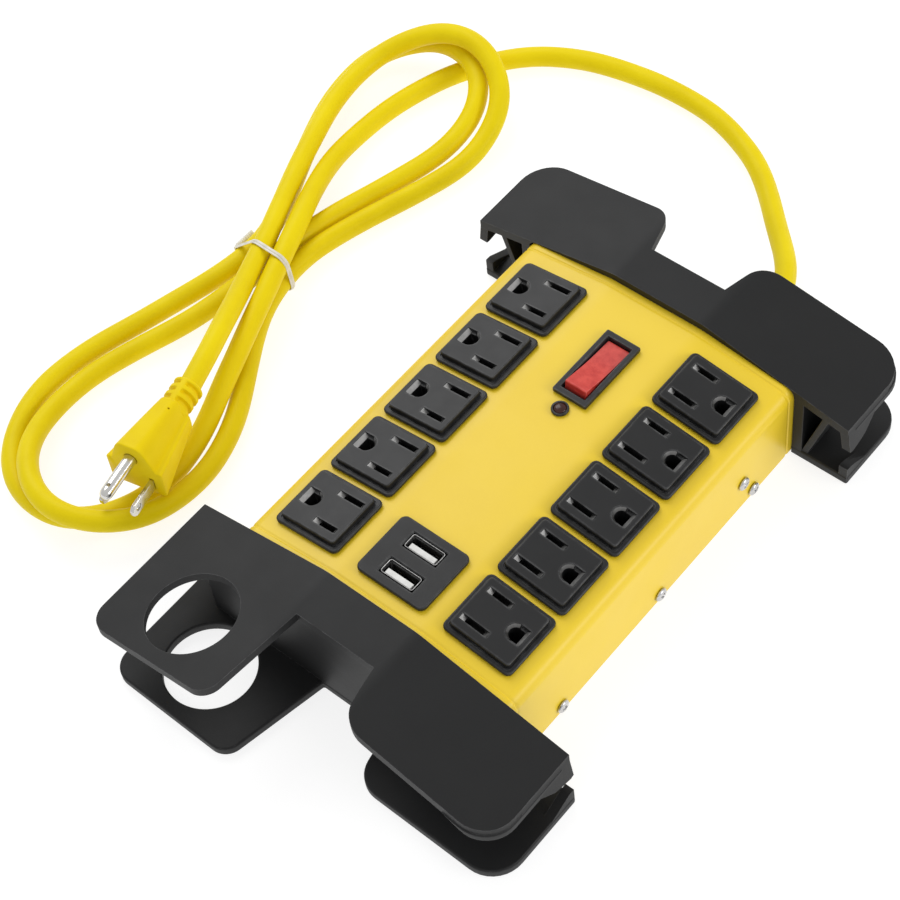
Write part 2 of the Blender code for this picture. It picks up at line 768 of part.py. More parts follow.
# ---------------------------------------------------------------- cord, gland, plug, tie
# guide points of the cord's free run, in mm, from the strain relief to the plug
ROUTE = [
    (22, 127.2, 16), (22, 149, 13), (-6.5, 169.5, 5), (-24, 186, 4.5), (-52, 198.5, 4.5),
    (-77.5, 200, 4.5), (-106, 196.5, 4.5), (-131, 186, 5), (-150, 165, 4.5), (-160.5, 139.5, 4.5),
    (-164, 112.5, 4.5), (-159.5, 85.5, 9), (-147, 61.5, 15), (-137, 36, 15.5),
    (-127.5, 10.5, 14), (-118, -15, 12.5), (-110, -40.5, 5), (-110, -69, 4.5), (-129, -92, 4.5),
    (-159, -89, 4.5), (-176, -64, 4.5), (-177.5, -37.5, 4.5), (-169, -10, 4.5), (-162, 15, 4.5),
    (-153.5, 43.5, 7), (-163.5, 68.5, 4.5), (-175.5, 93.5, 4.5), (-185, 118.5, 4.5),
    (-188, 147, 4.5), (-164.5, 167, 12.5), (-134.5, 157.5, 14), (-126, 131, 7), (-134, 104, 4.5),
    (-142.5, 78.5, 4.5), (-147.5, 51.5, 6.2), (-148, 24, 6.2), (-154.5, -2.5, 4.5),
    (-165, -28, 4.5), (-168, -55.5, 4.5), (-156.5, -81.5, 11.5), (-130, -94.5, 14),
    (-103.5, -79, 10.5), (-98.5, -50.5, 6), (-105.5, -24, 4.5), (-120.5, -1, 4.5),
    (-135, 22, 6.2), (-139.5, 50, 6.2), (-133.5, 76.5, 4.5), (-124, 102.5, 4.5),
    (-116.5, 128.5, 4.5), (-122, 156, 15.5), (-149.5, 166.5, 25), (-175.5, 153.5, 15.5),
    (-182, 125.5, 10.5), (-173, 99.5, 13), (-163.5, 73.5, 13), (-151.5, 49.5, 15.5),
    (-142, 23.5, 15.3), (-129, 1, 25),
]
PLUG_AXIS = Vector((0.214, -0.977, 0.0)).normalized()
PLUG_BACK = Vector((-119.0, -28.3, 25.2))
CORD_TO_PLUG = 1.3  # the tube stops just short of the plug's strain relief

GUIDE_STEPS = 16  # steps of the smooth curve for each guide point
TUBE_POINTS = 80
STRAIGHT_SHARE = 0.6  # how the tube's points are shared between the straights ...
BEND_SHARE = 14.0  # ... and the bends, per 1/mm of curvature


def smooth_curve(guides):
    """Uniform cubic B-spline over the guide points, passing through the first and the last."""
    points = [Vector(p) for p in guides]
    points.insert(0, 2 * points[0] - points[1])
    points.append(2 * points[-1] - points[-2])
    curve = []
    for i in range(len(points) - 3):
        a, b, c, d = points[i : i + 4]
        for k in range(GUIDE_STEPS):
            t = k / GUIDE_STEPS
            blend_a = (1 - t) ** 3
            blend_b = 3 * t**3 - 6 * t**2 + 4
            blend_c = -3 * t**3 + 3 * t**2 + 3 * t + 1
            curve.append((a * blend_a + b * blend_b + c * blend_c + d * t**3) / 6)
    curve.append(Vector(guides[-1]))
    return curve


def share_out(curve, count):
    """Picks points along a fine curve, closer together where it bends."""
    places = [0.0]
    for i in range(1, len(curve)):
        step = (curve[i] - curve[i - 1]).length
        before = curve[i] - curve[max(i - 8, 0)]
        after = curve[min(i + 8, len(curve) - 1)] - curve[i - 1]
        bend = before.angle(after, 0.0) / (8 * step)
        places.append(places[-1] + step * (STRAIGHT_SHARE + BEND_SHARE * bend))
    picked = []
    index = 0
    for k in range(count):
        target = places[-1] * k / (count - 1)
        while index < len(places) - 2 and places[index + 1] < target:
            index += 1
        share = (target - places[index]) / (places[index + 1] - places[index])
        picked.append(curve[index].lerp(curve[index + 1], min(share, 1.0)))
    return picked


def tube(name, points, radius, mat, resolution=2, closed=False):
    curve = bpy.data.curves.new(name, "CURVE")
    curve.dimensions = "3D"
    curve.bevel_depth = radius * MM
    curve.bevel_resolution = resolution
    curve.use_fill_caps = True
    spline = curve.splines.new("POLY")
    spline.points.add(len(points) - 1)
    for point, place in zip(spline.points, points):
        point.co = (*(Vector(place) * MM), 1.0)
    spline.use_cyclic_u = closed
    spline.use_smooth = True
    curve.materials.append(mat)
    obj = bpy.data.objects.new(name, curve)
    STRIP.objects.link(obj)
    return obj


def cord_points():
    end = PLUG_BACK - PLUG_AXIS * CORD_TO_PLUG
    return share_out(smooth_curve(ROUTE + [tuple(end)]), TUBE_POINTS)


def build_cord():
    return tube("cord", cord_points(), CORD_R, CORD_YELLOW, 2)


def build_gland():
    """Strain relief moulded on the cord where it passes the rear cap's bridge wall."""
    x, y, z = CORD_EXIT
    turn = Matrix.Translation(Vector((x, y, z)) * MM) @ Matrix.Rotation(-math.pi / 2, 4, "X")
    gland = add_object(
        "cord_gland", smooth(cylinder_mesh("cord_gland", 5.9, -8.0, 2.0, 24, turn), 30),
        BLACK_PLASTIC,
    )
    join(gland, cylinder_mesh("gland_head", 7.6, GAP, 3.0, 24, turn))
    join(gland, cylinder_mesh("gland_inner", 7.2, -7.5, -END_WALL - 0.4, 24, turn))
    join(gland, cylinder_mesh("gland_boot", 6.4, 1.0, 21.0, 24, turn, top=4.6))
    return gland


def plug_matrix(origin):
    """Local +Y runs along the plug toward its blades, +X across it, +Z up."""
    across = PLUG_AXIS.cross(Vector((0, 0, 1)))
    turn = Matrix((
        (across.x, PLUG_AXIS.x, 0.0, origin.x * MM),
        (across.y, PLUG_AXIS.y, 0.0, origin.y * MM),
        (0.0, 0.0, 1.0, origin.z * MM),
        (0.0, 0.0, 0.0, 1.0),
    ))
    return turn


PLUG_BOTTOM = 14.1
PLUG_BODY_FROM = 11.5  # strain relief length before the body
PLUG_BODY_TO = 37.4
BLADE_Z = 4.4  # middle of the blades, as high as this above the plug's reference level
PIN_Z = 16.2


def build_plug():
    place = plug_matrix(Vector((PLUG_BACK.x, PLUG_BACK.y, PLUG_BOTTOM)))
    y0 = PLUG_BODY_FROM
    y1 = PLUG_BODY_TO
    arch = [
        (8.0 * math.cos(math.radians(a)), 12.8 + 10.4 * math.sin(math.radians(a)))
        for a in range(0, 181, 20)
    ]
    section = (
        rounded([(-11.5, 12.0), (-11.5, -1.5), (11.5, -1.5), (11.5, 12.0)], [1.5, 2.5, 2.5, 1.5], 3)
        + arch
    )
    body = add_object("plug_body", prism_mesh("plug_body", section, y0, y1, "Y", place), CORD_YELLOW)
    # the body tapers toward the cord: two slanted side cuts and one on top
    for side in (1, -1):
        wedge = [(side * 5.3, y0 - 3), (side * 16, y0 - 3), (side * 16, y1 + 1), (side * 11.7, y1 + 1)]
        cut(body, prism_mesh("plug_wedge", wedge, -5, 40, "Z", place))
    wedge = [(y0 - 3, 17.0), (y1 + 1, 23.5), (y1 + 1, 40), (y0 - 3, 40)]
    cut(body, prism_mesh("plug_top_wedge", wedge, -20, 20, "X", place))
    spine = Matrix.Translation((0, 0, 11.1 * MM)) @ Matrix.Rotation(-math.pi / 2, 4, "X")
    join(body, cylinder_mesh("plug_relief", 5.4, 0.0, y0 + 4.0, 20, place @ spine, top=5.9))
    sockets = []
    for x, z, half_w, half_h in ((-6.35, BLADE_Z, 1.05, 3.4), (6.35, BLADE_Z, 1.05, 3.4)):
        sockets.append(
            box_mesh(
                "plug_socket", (x - half_w, y1 - 6.3, z - half_h), (x + half_w, y1 + 3, z + half_h), place
            )
        )
    pin_place = place @ Matrix.Translation((0, 0, PIN_Z * MM)) @ Matrix.Rotation(-math.pi / 2, 4, "X")
    sockets.append(cylinder_mesh("plug_pin_socket", 2.7, y1 - 6.3, y1 + 3, 20, pin_place))
    cut(body, merged(sockets, "plug_sockets"))

    for x, label in ((-6.35, "left"), (6.35, "right")):
        name = f"plug_blade_{label}"
        blade = add_object(
            name,
            box_mesh(name, (x - 0.75, y1 - 6.0, BLADE_Z - 3.1), (x + 0.75, y1 + 16.0, BLADE_Z + 3.1), place),
            NICKEL,
        )
        hole = place @ Matrix.Translation((x * MM, (y1 + 11.7) * MM, BLADE_Z * MM))
        hole = hole @ Matrix.Rotation(math.pi / 2, 4, "Y")
        cut(blade, cylinder_mesh(name + "_hole", 1.55, -3, 3, 16, hole))
    pin = cylinder_mesh("plug_ground_pin", 2.35, y1 - 6.0, y1 + 15.5, 20, pin_place)
    ground = add_object("plug_ground_pin", smooth(pin, 30), NICKEL)
    join(ground, cylinder_mesh("pin_nose", 2.35, y1 + 15.0, y1 + 18.6, 20, pin_place, top=1.1))


def build_tie():
    """A tie wrapped once around the bundle of five strands where the two loops cross."""
    strands = []
    points = cord_points()
    for p, q in zip(points, points[1:]):
        if (p.y - TIE_Y) * (q.y - TIE_Y) < 0 and p.x < -120:
            spot = p.lerp(q, (TIE_Y - p.y) / (q.y - p.y))
            strands.append(Vector((spot.x, spot.z)))
    reach = CORD_R + GAP + TIE_R + 0.35
    ring = []
    for k in range(48):
        angle = 2 * math.pi * k / 48
        way = Vector((math.cos(angle), math.sin(angle)))
        spot = max(strands, key=lambda s: s.dot(way)) + way * reach
        ring.append(Vector((spot.x, TIE_Y, spot.y)))
    return tube("cord_tie", ring, TIE_R, TIE_WHITE, 1, closed=True)


build_housing()
build_base_plate()
build_screws()
build_caps()
build_outlets()
build_bars()
build_usb()
build_switch()
build_lamp()
build_surge()
build_cord()
build_gland()
build_plug()
build_tie()
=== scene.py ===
"""Looks of the power strip: steel housing, moulded end caps, outlets, USB ports, rocker
switch, indicator, cord with its plug and tie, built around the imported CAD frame.

Lengths are in millimetres until a piece is placed, then metres, +Z up.
"""

import math

import bmesh
import bpy
from mathutils import Matrix, Vector


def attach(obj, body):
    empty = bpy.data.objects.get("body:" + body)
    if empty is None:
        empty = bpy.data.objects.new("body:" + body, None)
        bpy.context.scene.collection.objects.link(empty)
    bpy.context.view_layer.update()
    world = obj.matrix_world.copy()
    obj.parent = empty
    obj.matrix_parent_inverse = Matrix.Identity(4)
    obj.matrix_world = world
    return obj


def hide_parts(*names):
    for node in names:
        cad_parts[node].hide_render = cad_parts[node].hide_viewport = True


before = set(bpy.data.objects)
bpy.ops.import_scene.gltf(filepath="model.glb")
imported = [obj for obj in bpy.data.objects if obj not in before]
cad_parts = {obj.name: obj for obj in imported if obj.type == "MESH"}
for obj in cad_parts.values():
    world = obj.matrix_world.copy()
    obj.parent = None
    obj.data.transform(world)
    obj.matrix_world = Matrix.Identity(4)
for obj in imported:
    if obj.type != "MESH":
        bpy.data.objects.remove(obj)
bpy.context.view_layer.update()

MM = 0.001
SCENE = bpy.context.scene.collection

# ---------------------------------------------------------------- shared dimensions, mm
BODY_Y = 12.0
HALF_X = 57.0
HALF_Y = 89.2
FLOOR_Z = 1.4
TOP = 40.5
PLATEAU = 19.3
TILT = math.radians(7.85)
SHEET = 1.2
EDGE_Z = TOP - (HALF_X - PLATEAU) * math.tan(TILT)
CAP_TOP = 43.8
CAP_RISE = 0.2126
PLATE = 3.8
LOW_PLATE = 4.0
MOUTH = 75.7
BRIDGE_FRONT = -81.5
BRIDGE_REAR = 104.6
WING_RIGHT = 79.3
WING_FRONT_LEFT = -76.4
WING_REAR_LEFT = -80.3
LIP = 3.4
GAP = 0.3
OUTLET_X = 36.1
OUTLET_Y = 11.0
OUTLET_PITCH = 27.45
USB_X = 0.4
USB_Y = -43.7
SWITCH = (0.5, 52.9)
LAMP = (0.4, 32.9)
ROCKER_REST = math.radians(-8.0)
SCREWS = [(1, 59.0, 15.0), (2, 65.0, 4.9), (3, 12.0, 4.9), (4, -41.0, 4.9)]
CORD_R = 4.0
CORD_EXIT = (22.0, 104.6, 16.0)
TIE_Y = 38.0
PLUG_AXIS = Vector((0.214, -0.977, 0.0)).normalized()
PLUG_BACK = Vector((-119.0, -28.3, 25.2))
PLUG_BOTTOM = 14.1
PLUG_FACE = 37.4
BLADE_Z = 4.4
PIN_Z = 16.2
RELIEF_Z = 11.1


# ---------------------------------------------------------------- camera
LENS_MM = 92.973
LENS_SHIFT = (0.00997, 0.00286)
CAMERA_AT = (0.3081, -0.3089, 0.6732)
CAMERA_RIGHT = (0.7645, 0.6382, -0.0903)
CAMERA_BACK = (0.4242, -0.3927, 0.8160)


def make_camera():
    """A long lens from the front right, above the strip."""
    data = bpy.data.cameras.new("camera")
    data.sensor_width = 36.0
    data.lens = LENS_MM
    data.shift_x, data.shift_y = LENS_SHIFT
    data.clip_start = 0.01
    data.clip_end = 50.0
    camera = bpy.data.objects.new("camera", data)
    SCENE.objects.link(camera)
    right = Vector(CAMERA_RIGHT).normalized()
    back = Vector(CAMERA_BACK).normalized()
    up = back.cross(right).normalized()
    right = up.cross(back)
    facing = Matrix((right, up, back)).transposed().to_4x4()
    camera.matrix_world = Matrix.Translation(CAMERA_AT) @ facing
    bpy.context.scene.camera = camera


make_camera()


# ---------------------------------------------------------------- mesh building
def to_mesh(bm, name="mesh"):
    bmesh.ops.remove_doubles(bm, verts=bm.verts, dist=1e-5)
    bmesh.ops.recalc_face_normals(bm, faces=bm.faces)
    mesh = bpy.data.meshes.new(name)
    bm.to_mesh(mesh)
    bm.free()
    return mesh


def solid(outline, lo, hi, axis="Z", matrix=None):
    """A closed outline swept from lo to hi. It is (x, y) for Z, (x, z) for Y, (y, z) for X."""
    order = {
        "Z": lambda u, v, w: (u, v, w),
        "Y": lambda u, v, w: (u, w, v),
        "X": lambda u, v, w: (w, u, v),
    }[axis]
    bm = bmesh.new()
    ends = [[bm.verts.new(order(u, v, w)) for u, v in outline] for w in (lo, hi)]
    bm.faces.new(ends[0])
    bm.faces.new(ends[1][::-1])
    count = len(outline)
    for i in range(count):
        j = (i + 1) % count
        bm.faces.new((ends[0][i], ends[1][i], ends[1][j], ends[0][j]))
    if matrix is not None:
        bm.transform(matrix)
    return to_mesh(bm)


def block(lo, hi, matrix=None):
    outline = [(lo[0], lo[1]), (hi[0], lo[1]), (hi[0], hi[1]), (lo[0], hi[1])]
    return solid(outline, lo[2], hi[2], "Z", matrix)


def loft(rings, closed=False):
    """Joins rings of equal length; closed joins the last to the first."""
    bm = bmesh.new()
    made = [[bm.verts.new(p) for p in ring] for ring in rings]
    pairs = list(zip(made, made[1:]))
    if closed:
        pairs.append((made[-1], made[0]))
    count = len(rings[0])
    for a, b in pairs:
        for i in range(count):
            j = (i + 1) % count
            bm.faces.new((a[i], a[j], b[j], b[i]))
    if not closed:
        bm.faces.new(made[0][::-1])
        bm.faces.new(made[-1])
    return to_mesh(bm)


def lathe(profile, segments=48, matrix=None):
    """Turns (radius, z) points about Z; a radius of 0 closes an end."""
    bm = bmesh.new()
    rings = []
    for radius, z in profile:
        if radius <= 0:
            rings.append([bm.verts.new((0, 0, z))])
            continue
        ring = []
        for k in range(segments):
            a = 2 * math.pi * k / segments
            ring.append(bm.verts.new((radius * math.cos(a), radius * math.sin(a), z)))
        rings.append(ring)
    for a, b in zip(rings, rings[1:]):
        for k in range(segments):
            n = (k + 1) % segments
            if len(a) == 1:
                bm.faces.new((a[0], b[k], b[n]))
            elif len(b) == 1:
                bm.faces.new((a[k], a[n], b[0]))
            else:
                bm.faces.new((a[k], a[n], b[n], b[k]))
    if len(rings[0]) > 1:
        bm.faces.new(rings[0][::-1])
    if len(rings[-1]) > 1:
        bm.faces.new(rings[-1])
    if matrix is not None:
        bm.transform(matrix)
    return to_mesh(bm)


def evaluated(mesh, add):
    """The mesh after the modifiers that add(object) puts on it."""
    obj = bpy.data.objects.new("work", mesh)
    SCENE.objects.link(obj)
    extra = add(obj)
    bpy.context.view_layer.update()
    graph = bpy.context.evaluated_depsgraph_get()
    made = bpy.data.meshes.new_from_object(obj.evaluated_get(graph))
    bpy.data.objects.remove(obj)
    if extra is not None:
        bpy.data.objects.remove(extra)
    return made


def boolean(mesh, other, operation):
    def add(obj):
        helper = bpy.data.objects.new("helper", other)
        SCENE.objects.link(helper)
        modifier = obj.modifiers.new("boolean", "BOOLEAN")
        modifier.operation = operation
        modifier.solver = "EXACT"
        modifier.object = helper
        return helper

    return evaluated(mesh, add)


def join(mesh, *others):
    for other in others:
        mesh = boolean(mesh, other, "UNION")
    return mesh


def cut(mesh, *others):
    for other in others:
        mesh = boolean(mesh, other, "DIFFERENCE")
    return mesh


def together(*meshes):
    """Separate shells as one mesh."""
    bm = bmesh.new()
    for mesh in meshes:
        bm.from_mesh(mesh)
    made = bpy.data.meshes.new("together")
    bm.to_mesh(made)
    bm.free()
    return made


def bevel(mesh, width, segments=3, angle=40):
    def add(obj):
        modifier = obj.modifiers.new("bevel", "BEVEL")
        modifier.width = width
        modifier.segments = segments
        modifier.limit_method = "ANGLE"
        modifier.angle_limit = math.radians(angle)
        modifier.use_clamp_overlap = True

    return evaluated(mesh, add)


def moved(mesh, matrix):
    made = mesh.copy()
    made.transform(matrix)
    return made


def rounded(points, radii, steps=6):
    """An outline whose corners become arcs of the given radii."""
    made = []
    count = len(points)
    for i in range(count):
        here = Vector(points[i])
        radius = radii[i] if isinstance(radii, (list, tuple)) else radii
        if radius <= 0:
            made.append(tuple(here))
            continue
        to_back = (Vector(points[i - 1]) - here).normalized()
        to_next = (Vector(points[(i + 1) % count]) - here).normalized()
        half = to_back.angle(to_next) / 2
        middle = here + (to_back + to_next).normalized() * (radius / math.sin(half))
        start = here + to_back * (radius / math.tan(half)) - middle
        end = here + to_next * (radius / math.tan(half)) - middle
        sweep = math.atan2(start.x * end.y - start.y * end.x, start.dot(end))
        for k in range(steps + 1):
            made.append(tuple(middle + Matrix.Rotation(sweep * k / steps, 2) @ start))
    return made


def rectangle(x0, y0, x1, y1, radius=0.0, steps=5):
    corners = [(x0, y0), (x1, y0), (x1, y1), (x0, y1)]
    return rounded(corners, radius, steps) if radius else corners


def around(x, y, half_x, half_y, radius=0.0, steps=5):
    """A rectangle about a middle point, its corners rounded when a radius is given."""
    return rectangle(x - half_x, y - half_y, x + half_x, y + half_y, radius, steps)


def quarter(x, y, radius, first, steps):
    """Points of a quarter circle, counterclockwise from the first angle in degrees."""
    angles = [math.radians(first + 90 * k / steps) for k in range(steps + 1)]
    return [(x + radius * math.cos(a), y + radius * math.sin(a)) for a in angles]


def shift(x=0.0, y=0.0, z=0.0):
    return Matrix.Translation((x, y, z))


def turn(degrees, axis):
    return Matrix.Rotation(math.radians(degrees), 4, axis)


# ---------------------------------------------------------------- materials
def node(tree, kind, **values):
    made = tree.nodes.new(kind)
    for key, value in values.items():
        setattr(made, key, value)
    return made


def noise(tree, coords, scale, detail=3.0, rough=0.55, stretch=None):
    if stretch is not None:
        mapping = node(tree, "ShaderNodeMapping")
        mapping.inputs["Scale"].default_value = stretch
        tree.links.new(coords, mapping.inputs["Vector"])
        coords = mapping.outputs["Vector"]
    made = node(tree, "ShaderNodeTexNoise")
    made.inputs["Scale"].default_value = scale
    made.inputs["Detail"].default_value = detail
    made.inputs["Roughness"].default_value = rough
    tree.links.new(coords, made.inputs["Vector"])
    return made.outputs["Fac"]


def spread(tree, value, low, high, lo=0.35, hi=0.65):
    made = node(tree, "ShaderNodeMapRange")
    made.inputs["From Min"].default_value = lo
    made.inputs["From Max"].default_value = hi
    made.inputs["To Min"].default_value = low
    made.inputs["To Max"].default_value = high
    tree.links.new(value, made.inputs["Value"])
    return made.outputs["Result"]


def blend(tree, factor, first, second):
    """Mixes two colours, each a tuple or a socket, by a factor socket."""
    made = node(tree, "ShaderNodeMix", data_type="RGBA")
    tree.links.new(factor, made.inputs[0])
    for value, index in ((first, 6), (second, 7)):
        if isinstance(value, tuple):
            made.inputs[index].default_value = (*value, 1.0)
        else:
            tree.links.new(value, made.inputs[index])
    return made.outputs[2]


def edge_mask(tree, radius, low, high):
    """White where the surface turns sharply within the radius."""
    soft = node(tree, "ShaderNodeBevel", samples=4)
    soft.inputs["Radius"].default_value = radius
    geometry = node(tree, "ShaderNodeNewGeometry")
    dot = node(tree, "ShaderNodeVectorMath", operation="DOT_PRODUCT")
    tree.links.new(soft.outputs["Normal"], dot.inputs[0])
    tree.links.new(geometry.outputs["Normal"], dot.inputs[1])
    return spread(tree, dot.outputs["Value"], 1.0, 0.0, low, high)


def surface(
    name,
    dark,
    light,
    rough,
    rough_spread=0.06,
    metallic=0.0,
    patch=35.0,
    grain=900.0,
    grain_depth=0.02,
    wave=0.0,
    wave_scale=60.0,
    stretch=None,
    wear_and_highlight=None,
    wear_and_highlight_radius=0.0004,
    dust=0.0,
    dust_colour=(0.45, 0.43, 0.40),
    **sockets,
):
    """A finish with patchy colour, uneven gloss, a fine relief and lighter edges, partly wear and
    partly a painted highlight.
    """
    made = bpy.data.materials.new(name)
    made.use_nodes = True
    tree = made.node_tree
    shader = tree.nodes["Principled BSDF"]
    shader.inputs["Metallic"].default_value = metallic
    for key, value in sockets.items():
        shader.inputs[key.replace("_", " ")].default_value = value
    coords = node(tree, "ShaderNodeTexCoord").outputs["Object"]
    patches = noise(tree, coords, patch, 4.0, 0.6, stretch)
    colour = blend(tree, spread(tree, patches, 0.0, 1.0), dark, light)
    fine = noise(tree, coords, grain, 2.0, 0.5, stretch)
    colour = blend(tree, spread(tree, fine, 0.0, 0.25), colour, light)
    # lighter colour along sharp edges: partly edge wear, partly a painted highlight on the rims
    if wear_and_highlight is not None:
        mask = edge_mask(tree, wear_and_highlight_radius, 0.86, 0.985)
        wear_and_highlight_mask = node(tree, "ShaderNodeMath", operation="MULTIPLY")
        tree.links.new(mask, wear_and_highlight_mask.inputs[0])
        tree.links.new(spread(tree, noise(tree, coords, 260.0), 0.1, 0.75), wear_and_highlight_mask.inputs[1])
        colour = blend(tree, wear_and_highlight_mask.outputs["Value"], colour, wear_and_highlight)
    if dust > 0:
        specks = spread(tree, noise(tree, coords, 1500.0, 1.0, 0.4), 0.0, dust, 0.62, 0.78)
        colour = blend(tree, specks, colour, dust_colour)
    tree.links.new(colour, shader.inputs["Base Color"])
    uneven = noise(tree, coords, patch * 2.3, 3.0, 0.6, stretch)
    gloss = spread(tree, uneven, rough - rough_spread, rough + rough_spread)
    tree.links.new(gloss, shader.inputs["Roughness"])
    bump = node(tree, "ShaderNodeBump")
    bump.inputs["Strength"].default_value = 1.0
    bump.inputs["Distance"].default_value = grain_depth * MM
    tree.links.new(fine, bump.inputs["Height"])
    if wave > 0:
        swell = node(tree, "ShaderNodeBump")
        swell.inputs["Strength"].default_value = 1.0
        swell.inputs["Distance"].default_value = wave * MM
        tree.links.new(noise(tree, coords, wave_scale, 1.0, 0.4), swell.inputs["Height"])
        tree.links.new(swell.outputs["Normal"], bump.inputs["Normal"])
    tree.links.new(bump.outputs["Normal"], shader.inputs["Normal"])
    return made


PAINT = surface(
    "powder_coat", (0.80, 0.555, 0.014), (0.85, 0.605, 0.020), 0.42, 0.04,
    patch=14.0, grain=1100.0, grain_depth=0.010, wave=0.02, wave_scale=140.0,
    Specular_IOR_Level=0.45, Coat_Weight=0.12, Coat_Roughness=0.25, dust=0.04,
    dust_colour=(0.62, 0.42, 0.05),
)
# the lighter edge colour of this plastic is partly wear, partly a painted highlight
CAP = surface(
    "cap_plastic", (0.0098, 0.0100, 0.0104), (0.0122, 0.0124, 0.0128), 0.52, 0.02,
    patch=25.0, grain=1700.0, grain_depth=0.022, wear_and_highlight=(0.115, 0.116, 0.118),
    Specular_IOR_Level=0.27, dust=0.015, dust_colour=(0.10, 0.10, 0.10),
)
# the lighter edge colour of this plastic is partly wear, partly a painted highlight
BLACK = surface(
    "black_plastic", (0.0095, 0.0097, 0.0102), (0.0125, 0.0127, 0.0132), 0.44, 0.02,
    patch=60.0, grain=2300.0, grain_depth=0.014, wear_and_highlight=(0.15, 0.151, 0.153),
    wear_and_highlight_radius=0.0011, Specular_IOR_Level=0.33, dust=0.015, dust_colour=(0.10, 0.10, 0.10),
)
VINYL = surface(
    "cord_vinyl", (0.77, 0.595, 0.0015), (0.83, 0.66, 0.003), 0.46, 0.06,
    patch=45.0, grain=1300.0, grain_depth=0.014, wave=0.03, wave_scale=200.0,
    Specular_IOR_Level=0.12, dust=0.05, dust_colour=(0.52, 0.36, 0.01),
)
PLUG_VINYL = surface(
    "plug_vinyl", (0.79, 0.585, 0.0015), (0.84, 0.64, 0.003), 0.48, 0.05,
    patch=60.0, grain=1900.0, grain_depth=0.016, Specular_IOR_Level=0.12, dust=0.05,
    dust_colour=(0.52, 0.36, 0.01),
)
NICKEL = surface(
    "nickel", (0.60, 0.59, 0.57), (0.74, 0.73, 0.70), 0.20, 0.07, 1.0,
    patch=160.0, grain=900.0, grain_depth=0.006, stretch=(1.0, 1.0, 0.25),
)
STEEL = surface(
    "zinc_steel", (0.50, 0.50, 0.51), (0.68, 0.68, 0.69), 0.27, 0.09, 1.0,
    patch=220.0, grain=1600.0, grain_depth=0.006,
)
BRASS = surface(
    "brass", (0.58, 0.38, 0.12), (0.74, 0.53, 0.22), 0.30, 0.08, 1.0,
    patch=120.0, grain=1300.0, grain_depth=0.008,
)
CONTACT = surface(
    "contact_metal", (0.25, 0.25, 0.245), (0.34, 0.335, 0.33), 0.44, 0.06, 1.0,
    patch=400.0, grain=1600.0, grain_depth=0.006,
)
# the lighter edge colour of the rocker is partly wear, partly a painted highlight
RED = surface(
    "rocker_red", (0.50, 0.026, 0.020), (0.66, 0.066, 0.048), 0.34, 0.06,
    patch=380.0, grain=2600.0, grain_depth=0.010, wear_and_highlight=(0.72, 0.25, 0.22),
    Specular_IOR_Level=0.42, Coat_Weight=0.15, Coat_Roughness=0.2,
)
LENS = surface(
    "indicator_red", (0.030, 0.007, 0.004), (0.055, 0.011, 0.007), 0.22, 0.05,
    patch=600.0, grain=2600.0, grain_depth=0.006, Specular_IOR_Level=0.4,
)
BOARD = surface(
    "solder_mask", (0.015, 0.10, 0.035), (0.03, 0.17, 0.06), 0.35, 0.08,
    patch=300.0, grain=1800.0, grain_depth=0.03,
)
BLUE = surface(
    "varistor_epoxy", (0.02, 0.07, 0.26), (0.04, 0.12, 0.38), 0.25, 0.06,
    patch=200.0, grain=900.0, grain_depth=0.02,
)
WHITE = surface(
    "port_white", (0.60, 0.60, 0.58), (0.74, 0.74, 0.72), 0.35, 0.06,
    patch=260.0, grain=2000.0, grain_depth=0.008,
)
TIE = surface(
    "tie_vinyl", (0.66, 0.63, 0.55), (0.82, 0.80, 0.74), 0.45, 0.08,
    patch=260.0, grain=1500.0, grain_depth=0.03,
)


# ---------------------------------------------------------------- placing pieces
def piece(name, mesh, material, body="strip", replaces=(), sharp=32.0, flat=True):
    mesh.transform(Matrix.Scale(MM, 4))
    mesh.name = name
    mesh.materials.clear()
    mesh.materials.append(material)
    for polygon in mesh.polygons:
        polygon.material_index = 0
    mesh.shade_smooth()
    mesh.set_sharp_from_angle(angle=math.radians(sharp))
    obj = bpy.data.objects.new(name, mesh)
    SCENE.objects.link(obj)
    if flat:
        modifier = obj.modifiers.new("flat_faces", "WEIGHTED_NORMAL")
        modifier.keep_sharp = True
        modifier.weight = 100
    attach(obj, body)
    if replaces:
        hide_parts(*replaces)
    return obj


